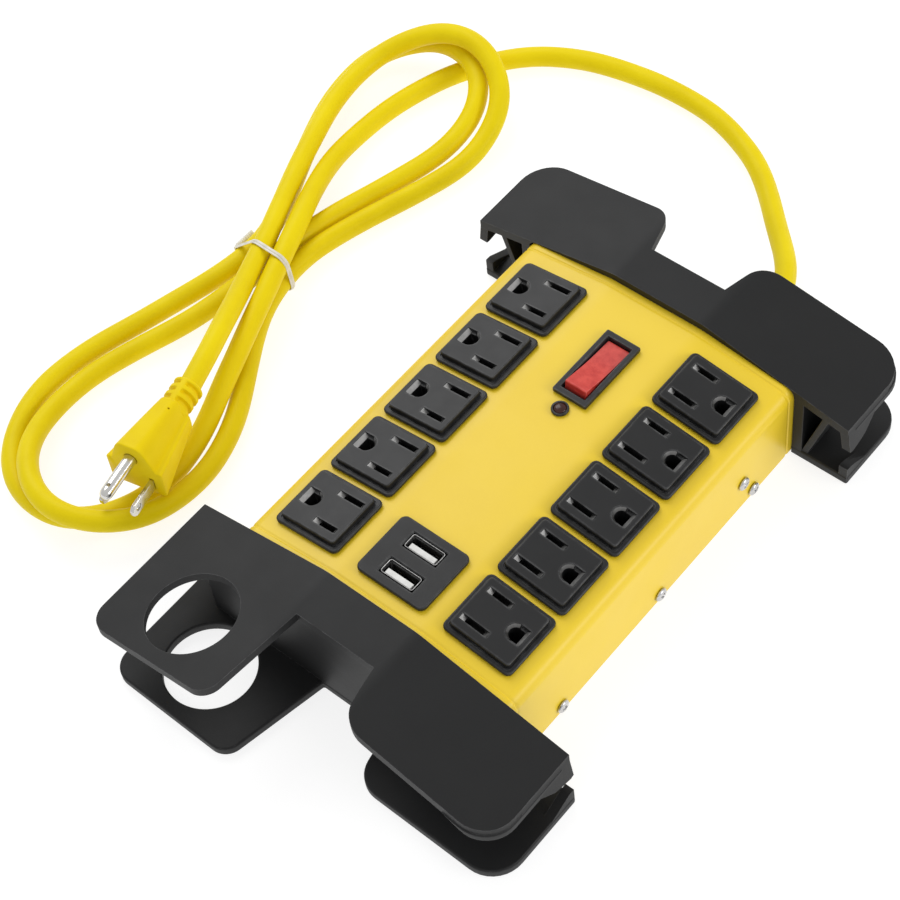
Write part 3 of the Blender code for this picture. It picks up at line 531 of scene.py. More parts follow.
# ---------------------------------------------------------------- cord
ROUTE = [
    (22, 127.2, 16), (17.5, 144.5, 13), (-7.5, 168.5, 5), (-24, 186, 4.5), (-52, 198.5, 4.5),
    (-77.5, 200, 4.5), (-106, 196.5, 4.5), (-131, 186, 5), (-150, 165, 4.5), (-160.5, 139.5, 4.5),
    (-164, 112.5, 4.5), (-159.5, 85.5, 9), (-147, 61.5, 15), (-137, 36, 15.5),
    (-127.5, 10.5, 14), (-118, -15, 12.5), (-110, -40.5, 5), (-110, -69, 4.5), (-129, -92, 4.5),
    (-159, -89, 4.5), (-176, -64, 4.5), (-177.5, -37.5, 4.5), (-169, -10, 4.5), (-162, 15, 4.5),
    (-153.5, 43.5, 7), (-163.5, 68.5, 4.5), (-175.5, 93.5, 4.5), (-185, 118.5, 4.5),
    (-188, 147, 4.5), (-164.5, 167, 12.5), (-134.5, 157.5, 14), (-126, 131, 7), (-134, 104, 4.5),
    (-142.5, 78.5, 4.5), (-147.5, 51.5, 6.2), (-148, 24, 6.2), (-154.5, -2.5, 4.5),
    (-165, -28, 4.5), (-168, -55.5, 4.5), (-156.5, -81.5, 11.5), (-130, -94.5, 14),
    (-103.5, -79, 10.5), (-98.5, -50.5, 6), (-105.5, -24, 4.5), (-120.5, -1, 4.5),
    (-135, 22, 6.2), (-139.5, 50, 6.2), (-133.5, 76.5, 4.5), (-124, 102.5, 4.5),
    (-116.5, 128.5, 4.5), (-122, 156, 15.5), (-149.5, 166.5, 25), (-175.5, 153.5, 15.5),
    (-182, 125.5, 10.5), (-173, 99.5, 13), (-163.5, 73.5, 13), (-151.5, 49.5, 15.5),
    (-142, 23.5, 15.3), (-129, 1, 25),
]
CORD_TO_PLUG = 1.3
CORD_SIDES = 28
CORES = 3
TWIST = 14.0
SWELL = 0.011


def smooth_curve(guides, steps=12):
    """Uniform cubic B-spline over the guide points, through the first and the last."""
    points = [Vector(p) for p in guides]
    points.insert(0, 2 * points[0] - points[1])
    points.append(2 * points[-1] - points[-2])
    curve = []
    for i in range(len(points) - 3):
        a, b, c, d = points[i : i + 4]
        for k in range(steps):
            t = k / steps
            near = 3 * t**3 - 6 * t**2 + 4
            far = -3 * t**3 + 3 * t**2 + 3 * t + 1
            curve.append((a * (1 - t) ** 3 + b * near + c * far + d * t**3) / 6)
    curve.append(Vector(guides[-1]))
    return curve


def frames_along(points):
    """Unit tangent, side and lift at each point, turned as little as possible."""
    last = len(points) - 1
    made = []
    side = None
    for i, point in enumerate(points):
        tangent = (points[min(i + 1, last)] - points[max(i - 1, 0)]).normalized()
        if side is None:
            side = tangent.cross(Vector((0, 0, 1)))
            if side.length < 0.1:
                side = tangent.cross(Vector((1, 0, 0)))
        side = (side - tangent * side.dot(tangent)).normalized()
        made.append((point, tangent, side, tangent.cross(side)))
    return made


def build_cord():
    """The jacket, with the faint spiral that the twisted cores raise on it."""
    start = Vector(CORD_EXIT)
    lead = [start + Vector((0, -4.0 + 3.0 * k, 0)) for k in range(8)]
    end = PLUG_BACK + PLUG_AXIS * 6.0
    centre = lead + smooth_curve(ROUTE + [tuple(PLUG_BACK - PLUG_AXIS * CORD_TO_PLUG)]) + [end]
    rings = []
    travelled = 0.0
    last = centre[0]
    for point, _, side, lift in frames_along(centre):
        travelled += (point - last).length
        last = point
        ring = []
        for k in range(CORD_SIDES):
            angle = 2 * math.pi * k / CORD_SIDES
            reach = CORD_R * (1.0 + SWELL * math.cos(CORES * (angle - travelled / TWIST)))
            ring.append(point + (side * math.cos(angle) + lift * math.sin(angle)) * reach)
        rings.append(ring)
    cord = piece("cord_jacket", loft(rings), VINYL, replaces=["cord"], flat=False)
    return cord, [tuple(p * MM) for p in centre]


RELIEF_STEP = 0.2


def ribbed(at, length, base, grooves, depth, width, segments=72):
    """A round relief along +Y with rows of grooves on both sides of a smooth spine."""
    rings = []
    stations = int(length / RELIEF_STEP)
    for i in range(stations + 1):
        y = length * i / stations
        ring = []
        for k in range(segments):
            angle = 2 * math.pi * k / segments
            radius = base(y)
            for groove in grooves:
                away = abs(y - groove) / (width * 0.5)
                if away < 1.0:
                    fade = min(1.0, max(0.0, (abs(math.cos(angle)) - 0.2) * 8.0))
                    radius -= depth * min(1.0, (1.0 - away) * 2.6) * fade
            ring.append(Vector((radius * math.cos(angle), y, radius * math.sin(angle))))
        rings.append(ring)
    mesh = loft(rings)
    mesh.transform(at)
    return mesh


BOOT = 18.6


def build_gland():
    """Strain relief: a round head against the cap's wall, then a tapered ribbed boot."""
    x, y, z = CORD_EXIT
    place = shift(x, y, z) @ turn(-90, "X")
    head = lathe(
        [(0, -8.0), (5.4, -8.0), (5.9, -7.6), (5.9, 0.4), (7.0, 0.4), (7.6, 0.9), (7.6, 2.3),
         (7.1, 2.9), (6.3, 3.0), (0, 3.0)],
        56, place,
    )
    boot = ribbed(
        shift(x, y + 2.6, z), BOOT,
        lambda t: 6.4 - 1.75 * (t / BOOT) ** 0.9 - (0.35 if t > BOOT - 0.4 else 0.0),
        [3.0, 6.0, 9.0, 12.0, 15.0], 0.95, 1.5,
    )
    return piece(
        "gland_boot", together(head, boot), BLACK, replaces=["cord_gland"],
        sharp=40, flat=False,
    )


def plug_matrix():
    """Local +Y runs along the plug toward its blades, +X across it, +Z up."""
    across = PLUG_AXIS.cross(Vector((0, 0, 1)))
    turned = Matrix((across, PLUG_AXIS, Vector((0, 0, 1)))).transposed().to_4x4()
    return shift(PLUG_BACK.x, PLUG_BACK.y, PLUG_BOTTOM) @ turned


FOOT_R = 2.5
BROW_R = 1.0


def plug_section(half_width, crown, ledge, bottom, inset):
    """A box with rounded lower corners and a bell-shaped crown between two ledges."""
    half_width -= inset
    bottom += inset
    ledge -= inset
    foot = FOOT_R
    brow = BROW_R
    crest = []
    for k in range(1, 60):
        x = (half_width - brow) * (1 - 2 * k / 60)
        u = min(1.0, abs(x) / (half_width * 0.83)) ** 2.3
        crest.append((x, ledge + (crown - ledge - inset) * (1 - 3 * u * u + 2 * u**3)))
    return (
        quarter(half_width - foot, bottom + foot, foot, -90, 7)
        + quarter(half_width - brow, ledge - brow, brow, 0, 5)
        + crest
        + quarter(brow - half_width, ledge - brow, brow, 90, 5)
        + quarter(foot - half_width, bottom + foot, foot, 180, 7)
    )


SHELL_BACK = 10.2
BLADE_X = 6.35
BLADE_HALF = 2.6
BLADE_THICK = 1.5
BLADE_OUT = 13.8
BLADE_HOLE = 10.2
PIN_R = 2.35


def build_plug():
    place = plug_matrix()
    back = SHELL_BACK
    marks = [(back, 1.4), (back + 0.2, 0.8), (back + 0.6, 0.3), (back + 1.2, 0.0)]
    marks += [(back + 2.0 + 1.1 * k, 0.0) for k in range(23)]
    marks += [(PLUG_FACE - 0.5, 0.0), (PLUG_FACE - 0.2, 0.1), (PLUG_FACE, 0.4)]
    rings = []
    for y, inset in marks:
        grow = (y - back) / (PLUG_FACE - back)
        section = plug_section(
            6.9 + 4.6 * grow, 18.0 + 5.3 * grow**0.9, 11.5 + 0.5 * grow, 4.0 - 5.5 * grow, inset
        )
        rings.append([Vector((x, y, z)) for x, z in section])
    shell = loft(rings)
    relief = ribbed(
        shift(0, -0.3, RELIEF_Z), 12.5, lambda t: 5.65 - 0.5 * max(0.0, 1 - t / 0.5),
        [2.3, 5.7, 9.1], 1.25, 1.9,
    )
    pockets = [
        block((-7.3, PLUG_FACE - 0.5, BLADE_Z - 3.2), (-5.4, PLUG_FACE + 2, BLADE_Z + 3.2)),
        block((5.4, PLUG_FACE - 0.5, BLADE_Z - 3.2), (7.3, PLUG_FACE + 2, BLADE_Z + 3.2)),
        lathe([(0, 0), (2.7, 0), (2.7, 3), (0, 3)], 32,
              shift(0, PLUG_FACE - 0.5, PIN_Z) @ turn(-90, "X")),
        lathe([(0, 0), (0.4, 0), (0.4, 6), (0, 6)], 16, shift(-2.4, 15.2, 17.2)),
    ]
    shell = cut(shell, *pockets)
    for mesh in (shell, relief):
        mesh.transform(place)
    made = [
        piece("plug_grip", shell, PLUG_VINYL, replaces=["plug_body"], sharp=48,
              flat=False),
        piece("plug_relief", relief, PLUG_VINYL, sharp=50, flat=False),
    ]
    low = BLADE_Z - BLADE_HALF
    high = BLADE_Z + BLADE_HALF
    for x, label in ((-BLADE_X, "left"), (BLADE_X, "right")):
        y0 = PLUG_FACE - 5.0
        y1 = PLUG_FACE + BLADE_OUT
        outline = rounded(
            [(y0, low), (y1 - 1.6, low), (y1, low + 1.6), (y1, high - 1.6), (y1 - 1.6, high),
             (y0, high)],
            [0, 1.0, 0.8, 0.8, 1.0, 0], 4,
        )
        blade = solid(outline, x - BLADE_THICK / 2, x + BLADE_THICK / 2, "X")
        hole = lathe([(0, -3), (1.4, -3), (1.4, 3), (0, 3)], 28,
                     shift(x, PLUG_FACE + BLADE_HOLE, BLADE_Z) @ turn(90, "Y"))
        blade = bevel(cut(blade, hole), 0.22, 2, 50)
        blade.transform(place)
        made.append(
            piece(f"blade_{label}", blade, NICKEL, replaces=[f"plug_blade_{label}"])
        )
    pin = lathe(
        [(0, -5), (PIN_R, -5), (PIN_R, 15.0), (2.28, 16.0), (2.0, 16.9), (1.5, 17.6),
         (0.8, 17.95), (0, 18.0)],
        48,
    )
    seam = block((-0.22, 1.7, -1.0), (0.22, 3.0, 12.2))
    hole = lathe([(0, -4), (0.8, -4), (0.8, 4), (0, 4)], 20, shift(0, 0, 13.6) @ turn(90, "X"))
    pin = cut(pin, seam, hole)
    pin.transform(place @ shift(0, PLUG_FACE, PIN_Z) @ turn(-90, "X"))
    made.append(
        piece("earth_pin", pin, NICKEL, replaces=["plug_ground_pin"], sharp=40)
    )
    return made


TIE_STEPS = 120
TIE_RAISE = 0.65
TAIL_STEPS = 90
TAIL_TURNS = 5
TAIL_R = 0.55
COIL_RIGHT = -120.0


def build_tie(centre):
    """A flat vinyl tie with a wire down its middle and its two ends twisted together."""
    strands = []
    for p, q in zip(centre, centre[1:]):
        p = Vector(p) / MM
        q = Vector(q) / MM
        if (p.y - TIE_Y) * (q.y - TIE_Y) < 0 and p.x < COIL_RIGHT:
            spot = p.lerp(q, (TIE_Y - p.y) / (q.y - p.y))
            strands.append(Vector((spot.x, spot.z)))
    ring = []
    for k in range(TIE_STEPS):
        angle = 2 * math.pi * k / TIE_STEPS
        way = Vector((math.cos(angle), math.sin(angle)))
        spot = max(strands, key=lambda s: s.dot(way)) + way * (CORD_R + TIE_RAISE)
        ring.append(Vector((spot.x, TIE_Y, spot.y)))
    section = [(-1.05, 0.0), (-0.85, 0.22), (-0.35, 0.1), (0.0, 0.5), (0.35, 0.1), (0.85, 0.22),
               (1.05, 0.0), (0.85, -0.2), (0.0, -0.3), (-0.85, -0.2)]
    middle = sum((Vector(p) for p in ring), Vector()) / len(ring)
    rings = []
    for i, point in enumerate(ring):
        tangent = (ring[(i + 1) % TIE_STEPS] - ring[i - 1]).normalized()
        along = Vector((0, 1, 0))
        out = tangent.cross(along)
        if out.dot(point - middle) < 0:
            out = -out
        rings.append([point + along * u + out * v for u, v in section])
    band = loft(rings, closed=True)
    # the two ends, twisted around each other and laid along the outside of the bundle
    start = min(ring, key=lambda p: p.x)
    tails = []
    for phase in (0.0, math.pi):
        path = []
        for k in range(TAIL_STEPS):
            t = k / (TAIL_STEPS - 1)
            spin = phase + t * TAIL_TURNS * 2 * math.pi
            radius = 0.62 * min(1.0, t * 6)
            path.append(
                Vector((
                    start.x - 0.75 - 2.2 * t + radius * math.cos(spin),
                    TIE_Y + 11.5 * t,
                    start.z + 0.6 - 3.2 * t + radius * math.sin(spin),
                ))
            )
        tail = []
        for point, _, side, lift in frames_along(path):
            tail.append(
                [point + (side * math.cos(a) + lift * math.sin(a)) * TAIL_R
                 for a in [2 * math.pi * n / 10 for n in range(10)]]
            )
        tails.append(loft(tail))
    return piece(
        "tie_band", together(band, *tails), TIE, replaces=["cord_tie"], flat=False
    )


cord, cord_path = build_cord()
gland = build_gland()
plug_pieces = build_plug()
tie = build_tie(cord_path)


# ---------------------------------------------------------------- steel housing
def housing_section(inset):
    floor = FLOOR_Z - (2.0 if inset > 1 else 0.0)
    side = HALF_X - inset
    edge = EDGE_Z - inset / math.cos(TILT) + inset * math.tan(TILT)
    crease = PLATEAU - inset * math.tan(TILT / 2)
    top = TOP - inset
    corners = [
        (-side, floor), (side, floor), (side, edge), (crease, top), (-crease, top), (-side, edge),
    ]
    return rounded(corners, [0, 0, 5.0 - inset, 40.0, 40.0, 5.0 - inset], 12)


def facet(side, y):
    """Places a piece built flat at the origin on a sloping face of the housing."""
    height = TOP - (OUTLET_X - PLATEAU) * math.tan(TILT)
    place = shift(OUTLET_X, 0, height) @ Matrix.Rotation(TILT, 4, "Y")
    if side < 0:
        place = turn(180, "Z") @ place
    return shift(0, y, 0) @ place


def build_housing():
    """Folded sheet with a pressed groove beside each cap and windows for the fittings."""
    stations = []
    for way in (-1, 1):
        mouth = MOUTH * way
        marks = [
            (HALF_Y * way, 0.0), (mouth + 3.0 * way, 0.0), (mouth - 1.9 * way, 0.0),
            (mouth - 2.35 * way, 0.25), (mouth - 2.85 * way, 0.25), (mouth - 3.5 * way, 0.0),
        ]
        stations += marks if way < 0 else marks[::-1]
    rings = []
    for y, inset in stations:
        section = housing_section(inset)
        rings.append([Vector((x, BODY_Y + y, z)) for x, z in section])
    shell = loft(rings)
    inside = solid(housing_section(SHEET), BODY_Y - HALF_Y - 1, BODY_Y + HALF_Y + 1, "Y")
    shell = cut(shell, inside)
    windows = []
    for side in (1, -1):
        for i in range(5):
            y = OUTLET_Y + (i - 2) * OUTLET_PITCH
            windows.append(block((-12.85, -11.5, -5), (12.85, 11.5, 5), facet(side, y)))
    windows.append(block((-13.2, USB_Y - 11.4, 36), (14.0, USB_Y + 11.4, 46)))
    x, y = SWITCH
    windows.append(block((x - 6.1, y - 14.1, 36), (x + 6.1, y + 14.1, 46)))
    windows.append(lathe([(0, 36), (2.75, 36), (2.75, 46), (0, 46)], 32, shift(*LAMP)))
    for _, y, z in SCREWS:
        bore = lathe([(0, -70), (1.7, -70), (1.7, 70), (0, 70)], 24, shift(0, y, z) @ turn(90, "Y"))
        windows.append(bore)
    shell = cut(shell, together(*windows))
    piece("housing_skin", shell, PAINT, replaces=["housing_shell"], sharp=28)


def build_screws():
    """Pan heads with a cross recess."""
    head = lathe(
        [(0, -6.0), (1.2, -6.0), (1.4, -5.6), (1.4, 0.0), (2.45, 0.0), (2.6, 0.15), (2.55, 0.55),
         (2.25, 0.95), (1.7, 1.2), (0.9, 1.33), (0, 1.36)],
        40,
    )
    arms = []
    for spin in (0, 90):
        outline = [(-1.45, 1.6), (-0.75, 0.35), (0.75, 0.35), (1.45, 1.6)]
        arms.append(solid(outline, -0.3, 0.3, "Y", turn(spin, "Z")))
    head = bevel(cut(head, join(arms[0], arms[1])), 0.06, 1, 50)
    for side, label in ((1, "right"), (-1, "left")):
        for number, y, z in SCREWS:
            spin = turn(17.0 * number + 11.0 * side, "Z")
            place = shift(side * (HALF_X + GAP), y, z) @ turn(side * 90, "Y") @ spin
            piece(f"side_screw_{label}_{number}", moved(head, place), STEEL,
                  replaces=[f"screw_{label}_{number}"], sharp=35)


build_housing()
build_screws()


# ---------------------------------------------------------------- end caps
def slope_z(x):
    return CAP_TOP - max(0.0, abs(x) - PLATEAU) * CAP_RISE


def roof_section(low):
    edge = slope_z(84.0)
    top = rounded(
        [(84.0, edge), (PLATEAU, CAP_TOP), (-PLATEAU, CAP_TOP), (-84.0, edge)],
        [0.0, 20.0, 20.0, 0.0], 8,
    )
    return top + [(x, z - low) for x, z in reversed(top)]


def cap_plan(rear, low):
    right = WING_RIGHT + (1.0 if low else 0.0)
    if rear:
        mouth = BODY_Y + MOUTH
        corners = [
            (WING_REAR_LEFT, mouth), (right, mouth), (right, 124.2), (20.5, 121.8),
            (16.3, BRIDGE_REAR), (-15.0, BRIDGE_REAR), (-19.6, 121.6), (WING_REAR_LEFT, 124.2),
        ]
        return rounded(corners, [0, 0, 12.0, 10.0, 0, 0, 8.0, 12.0], 9)
    mouth = BODY_Y - MOUTH
    left = -73.7 if low else WING_FRONT_LEFT
    notch = -12.0 if low else -16.3
    corners = [
        (16.3, BRIDGE_FRONT), (20.3, -102.2), (right, -103.0), (right, mouth), (left, mouth),
        (left, -120.8), (-20.0, -121.6), (notch, BRIDGE_FRONT),
    ]
    return rounded(corners, [0, 10.0, 12.0, 0, 0, 8.0, 7.0, 0], 9)


def wing_lip(edge, mouth, way, upper):
    """The lip hanging from a wing's outer edge, or standing on the lower plate's."""
    side = 1 if edge > 0 else -1
    size = abs(edge)
    brow = slope_z(size) - 1.0
    if upper:
        section = [
            (size - LIP, brow), (size - LIP - 0.2, 30.0), (size + 1.5 - LIP, 18.5),
            (size + 1.5, 18.5), (size - 0.2, 31.0), (size - 0.2, brow),
        ]
        profile = [
            (0.0, 36.0), (0.0, 19.5), (1.5, 19.1), (5.0, 19.8), (9.0, 21.0), (13.0, 24.0),
            (16.0, 26.4), (23.5, 27.4), (23.5, 36.0),
        ]
    else:
        outer = size + (1.0 if side > 0 else 0.0) - 0.2
        section = [(outer - LIP, 1.0), (outer, 1.0), (outer, 9.5), (outer - LIP, 9.5)]
        profile = [(0.0, 1.0), (0.0, 8.6), (2.5, 8.4), (13.0, 3.2), (13.0, 1.0)]
    ends = sorted((mouth, mouth + way * 40.0))
    lip = solid([(side * x, z) for x, z in section], ends[0], ends[1], "Y")
    outline = [(mouth + way * (u + 0.2), z) for u, z in profile]
    lip = boolean(lip, solid(outline, -88.0, 88.0, "X"), "INTERSECT")
    return bevel(lip, 0.45, 2, 35)


def corner_skirt(rear):
    """The right wing's lip goes on round its outer corner as a low rim under the plate."""
    way = 1 if rear else -1
    far = 124.3 if rear else -103.1
    near = BODY_Y + way * (MOUTH + 4.0)
    size = WING_RIGHT + 0.45
    outer = [(56.0, near), (56.0, far + way * 0.2), (size, far + way * 0.3), (size, near)]
    inner = [(54.0, near - way), (54.0, far - way * 2.4), (size - 2.6, far - way * 2.4),
             (size - 2.6, near - way)]
    ring = cut(
        solid(rounded(outer, [0, 0, 12.4, 0], 10), 0, 60),
        solid(rounded(inner, [0, 0, 9.8, 0], 10), -5, 65),
    )
    ends = sorted((near - way * 5, far + way * 5))
    sheet = solid([(x, z - 2.9) for x, z in roof_section(3.1)], ends[0], ends[1], "Y")
    fade = [(40.0, 0.0), (40.0, 60.0), (60.0, slope_z(60.0) - 2.8), (71.5, slope_z(71.5) - 6.2),
            (71.5, 0.0)]
    rim = cut(boolean(sheet, ring, "INTERSECT"), solid(fade, ends[0] - 5, ends[1] + 5, "Y"))
    return bevel(rim, 0.5, 3, 40)


HANGING_HOLE = (-46.8, -99.7)
HANGING_R = 16.25
SLEEVE_X = 61.3
HOLLOW_X = 57.3


def build_cap(name, rear):
    way = 1 if rear else -1
    mouth = BODY_Y + way * MOUTH
    bridge = BRIDGE_REAR if rear else BRIDGE_FRONT
    far = sorted((mouth - way * 5, way * 145.0))
    hole = lathe(
        [(0, -5), (HANGING_R, -5), (HANGING_R, 60), (0, 60)], 72, shift(*HANGING_HOLE)
    )

    roof = solid(roof_section(PLATE), far[0], far[1], "Y")
    roof = boolean(roof, solid(cap_plan(rear, False), 0, 60), "INTERSECT")
    low = solid(cap_plan(rear, True), 0, LOW_PLATE)
    if not rear:
        roof = cut(roof, hole)
        low = cut(low, hole)
    roof = bevel(roof, 0.85, 3, 40)
    low = bevel(low, 0.8, 3, 40)

    out = SLEEVE_X
    shoulder = slope_z(out) - 1.8
    ends = sorted((mouth + way * 0.2, bridge - way * 0.2))
    sleeve = solid(
        [(-out, 1.0), (out, 1.0), (out, shoulder), (PLATEAU, 42.0), (-PLATEAU, 42.0),
         (-out, shoulder)],
        ends[0], ends[1], "Y",
    )
    cap = join(roof, bevel(sleeve, 0.4, 2, 50), low)
    for edge in (WING_RIGHT, WING_REAR_LEFT if rear else WING_FRONT_LEFT):
        for upper in (True, False):
            cap = join(cap, wing_lip(edge, mouth, way, upper))
    cap = join(cap, corner_skirt(rear))
    for side in (1, -1):
        outline = [(side * x, z) for x, z in [(60.8, 3.0), (63.2, 3.0), (72.0, 31.0), (69.4, 31.0)]]
        ends = sorted((mouth + way * 0.6, mouth + way * 14.0))
        cap = join(cap, bevel(solid(outline, ends[0], ends[1], "Y"), 0.3, 2, 50))

    hollow = rounded(
        [(-HOLLOW_X, -1.0), (HOLLOW_X, -1.0), (HOLLOW_X, EDGE_Z + GAP), (PLATEAU, TOP + GAP),
         (-PLATEAU, TOP + GAP), (-HOLLOW_X, EDGE_Z + GAP)],
        [0, 0, 4.0, 0, 0, 4.0], 6,
    )
    ends = sorted((bridge - way * 3.0, mouth - way * 3.0))
    cap = cut(cap, solid(hollow, ends[0], ends[1], "Y"))
    if rear:
        x, y, z = CORD_EXIT
        cap = cut(cap, lathe([(0, -10), (6.3, -10), (6.3, 10), (0, 10)], 40,
                             shift(x, y, z) @ turn(90, "X")))
    piece(name + "_moulding", cap, CAP, replaces=[name], sharp=30)


build_cap("front_cap", False)
build_cap("rear_cap", True)


# ---------------------------------------------------------------- outlets
FACE = 4.1
OUTLET_HALF = (13.95, 12.6)
SLOTS = ((-10.8, 0.5, -6.35), (-9.9, 0.2, 6.35))
SLOT_HALF = 1.1
RAMP = 1.9
GROUND_X = 6.6
GROUND_FLAT = 8.8
GROUND_R = 2.5


def slot_cutter(x0, x1, y, half):
    """A slot whose two ends ramp down into it."""
    outline = [
        (x0, 8.0), (x0, FACE), (x0 + RAMP, FACE - RAMP), (x0 + RAMP, -9.0), (x1 - RAMP, -9.0),
        (x1 - RAMP, FACE - RAMP), (x1, FACE), (x1, 8.0),
    ]
    return solid(outline, y - half, y + half, "Y")


def ramp_lip(x, way, y, half):
    """Bright contact metal lying on a slot's end ramp; way points into the slot."""
    outline = [
        (x + way * 0.25, FACE - 0.16), (x + way * RAMP, FACE - 1.81),
        (x + way * RAMP, FACE - 2.1), (x + way * 0.25, FACE - 0.45),
    ]
    return solid(outline, y - half, y + half, "Y")


def outlet_frame(inset, radius):
    return around(0.0, 0.0, OUTLET_HALF[0] - inset, OUTLET_HALF[1] - inset, radius)


def build_outlets():
    flange = bevel(solid(outlet_frame(0.0, 2.2), GAP, 1.9), 0.6, 4, 50)
    core = bevel(solid(outlet_frame(1.9, 1.2), -15.0, FACE), 0.45, 3, 50)
    # a fine groove where the raised face meets the flange
    groove = solid(outlet_frame(1.45, 1.5), 1.5, 2.4)
    body = join(cut(flange, groove), core)
    body = join(body, solid(outlet_frame(1.0, 1.8), 0.6, 1.45))
    throat = []
    for a in range(95, 266, 10):
        way = math.radians(a)
        throat.append((GROUND_X + GROUND_R * math.cos(way), GROUND_R * math.sin(way)))
    deep = solid(
        [(GROUND_FLAT, GROUND_R), (GROUND_X, GROUND_R)] + throat
        + [(GROUND_X, -GROUND_R), (GROUND_FLAT, -GROUND_R)],
        -9.5, 8.0,
    )
    cone = lathe(
        [(0, FACE - 1.5), (2.45, FACE - 1.5), (3.5, FACE + 0.1), (3.5, 8.0), (0, 8.0)], 48,
        shift(GROUND_X, 0, 0),
    )
    outline = [
        (GROUND_X, 8.0), (GROUND_X, FACE - 1.5), (GROUND_FLAT, FACE - 1.5),
        (10.5, FACE + 0.1), (10.5, 8.0),
    ]
    flat_end = solid(outline, -3.4, 3.4, "Y")
    body = cut(body, *[slot_cutter(x0, x1, y, SLOT_HALF) for x0, x1, y in SLOTS])
    body = cut(body, deep, cone, flat_end)
    leaves = []
    for x0, x1, y in SLOTS:
        for side in (-1, 1):
            a = y + side * 1.04
            b = y + side * 0.74
            leaves.append(block((x0 + 2.6, min(a, b), -8.5), (x1 - 2.6, max(a, b), -1.8)))
        leaves.append(ramp_lip(x0, 1, y, 1.05))
        leaves.append(ramp_lip(x1, -1, y, 1.05))
    outline = [
        (10.2, FACE - 0.1), (GROUND_FLAT, FACE - 1.4), (GROUND_FLAT, FACE - 1.7),
        (10.2, FACE - 0.4),
    ]
    leaves.append(solid(outline, -3.1, 3.1, "Y"))
    crescent = (
        (3.3, FACE - 0.12), (2.52, FACE - 1.3), (2.52, FACE - 1.6), (3.3, FACE - 0.42),
    )
    rings = []
    for a in range(100, 261, 8):
        way = Vector((math.cos(math.radians(a)), math.sin(math.radians(a)), 0))
        rings.append([Vector((GROUND_X, 0, z)) + way * r for r, z in crescent])
    leaves.append(loft(rings))
    contacts = together(*leaves)
    for side, label in ((1, "right"), (-1, "left")):
        for i in range(5):
            place = facet(side, OUTLET_Y + (i - 2) * OUTLET_PITCH)
            name = f"{label}_{i + 1}"
            piece(f"outlet_face_{name}", moved(body, place), BLACK,
                  replaces=[f"outlet_{name}"], sharp=34)
            piece(f"outlet_contacts_{name}", moved(contacts, place), CONTACT, flat=False)


build_outlets()


# ---------------------------------------------------------------- USB charger
PORT_Y = 5.9


def build_usb():
    x = USB_X
    plate = solid(around(x, USB_Y, 14.4, 12.7, 2.5, 8), TOP + GAP, TOP + 2.0)
    plate = bevel(plate, 0.55, 3, 50)
    core = solid(around(x, USB_Y, 13.1, 10.9, 1.0), TOP - 10.0, TOP + 1.0)
    plate = join(plate, core)
    for y, label in ((USB_Y - PORT_Y, "front"), (USB_Y + PORT_Y, "rear")):
        plate = cut(plate, block((x - 7.1, y - 3.1, 20), (x + 7.1, y + 3.1, 60)))
        # shallow chamfer around the port
        rings = []
        for z, grow in ((TOP + 1.55, 0.0), (TOP + 2.3, 0.6)):
            outline = around(x, y, 7.1 + grow, 3.1 + grow)
            rings.append([Vector((u, v, z)) for u, v in outline])
        plate = cut(plate, loft(rings))

        outer = around(x, y, 6.75, 2.85, 0.9)
        inner = around(x, y, 6.45, 2.55, 0.65)
        shell = cut(solid(outer, TOP - 9.5, TOP + 1.75), solid(inner, TOP - 9.0, 60))
        shell = bevel(shell, 0.08, 1, 60)
        springs = []
        for side in (-1, 1):
            for offset in (-3.1, 3.1):
                wall = y + side * 2.4
                outline = [
                    (wall + side * 0.05, TOP + 1.3), (wall - side * 0.28, TOP - 2.2),
                    (wall - side * 0.28, TOP - 2.9), (wall + side * 0.05, TOP - 5.5),
                ]
                springs.append(solid(outline, x + offset - 0.75, x + offset + 0.75, "X"))
        piece(f"usb_shell_{label}", together(shell, *springs), CONTACT,
              replaces=[f"usb_port_{label}"], sharp=35)
        tongue = bevel(block((x - 5.3, y - 2.3, TOP - 8.6), (x + 5.5, y - 0.15, TOP + 1.2)),
                       0.2, 2, 50)
        # a black liner inside the metal shell: painted shade that darkens the port's cavity, whose
        # real walls are bare metal
        outline = around(x, y, 6.42, 2.52, 0.6)
        hollow = rectangle(x - 6.2, y - 2.42, x + 6.2, y + 2.15, 0.3)
        shade_liner = cut(solid(outline, TOP - 9.0, TOP + 0.9), solid(hollow, TOP - 8.0, 60))
        piece(f"usb_shade_liner_{label}", shade_liner, BLACK, flat=False)
        piece(f"usb_insert_{label}", tongue, WHITE,
              replaces=[f"usb_tongue_{label}"])
        fingers = []
        outline = [(y - 0.18, TOP + 0.2), (y + 0.12, TOP - 0.4), (y + 0.2, TOP - 3.0),
                   (y - 0.18, TOP - 6.0)]
        for offset in (-3.5, -1.0, 1.0, 3.5):
            u = x + offset
            fingers.append(solid(outline, u - 0.5, u + 0.5, "X"))
        piece(f"usb_fingers_{label}", together(*fingers), BRASS, flat=False)
    piece("usb_cover", plate, BLACK, replaces=["usb_plate"], sharp=34)


build_usb()


# ---------------------------------------------------------------- switch and indicator
PIVOT_Z = TOP - 3.0
PIVOT_R = 1.3


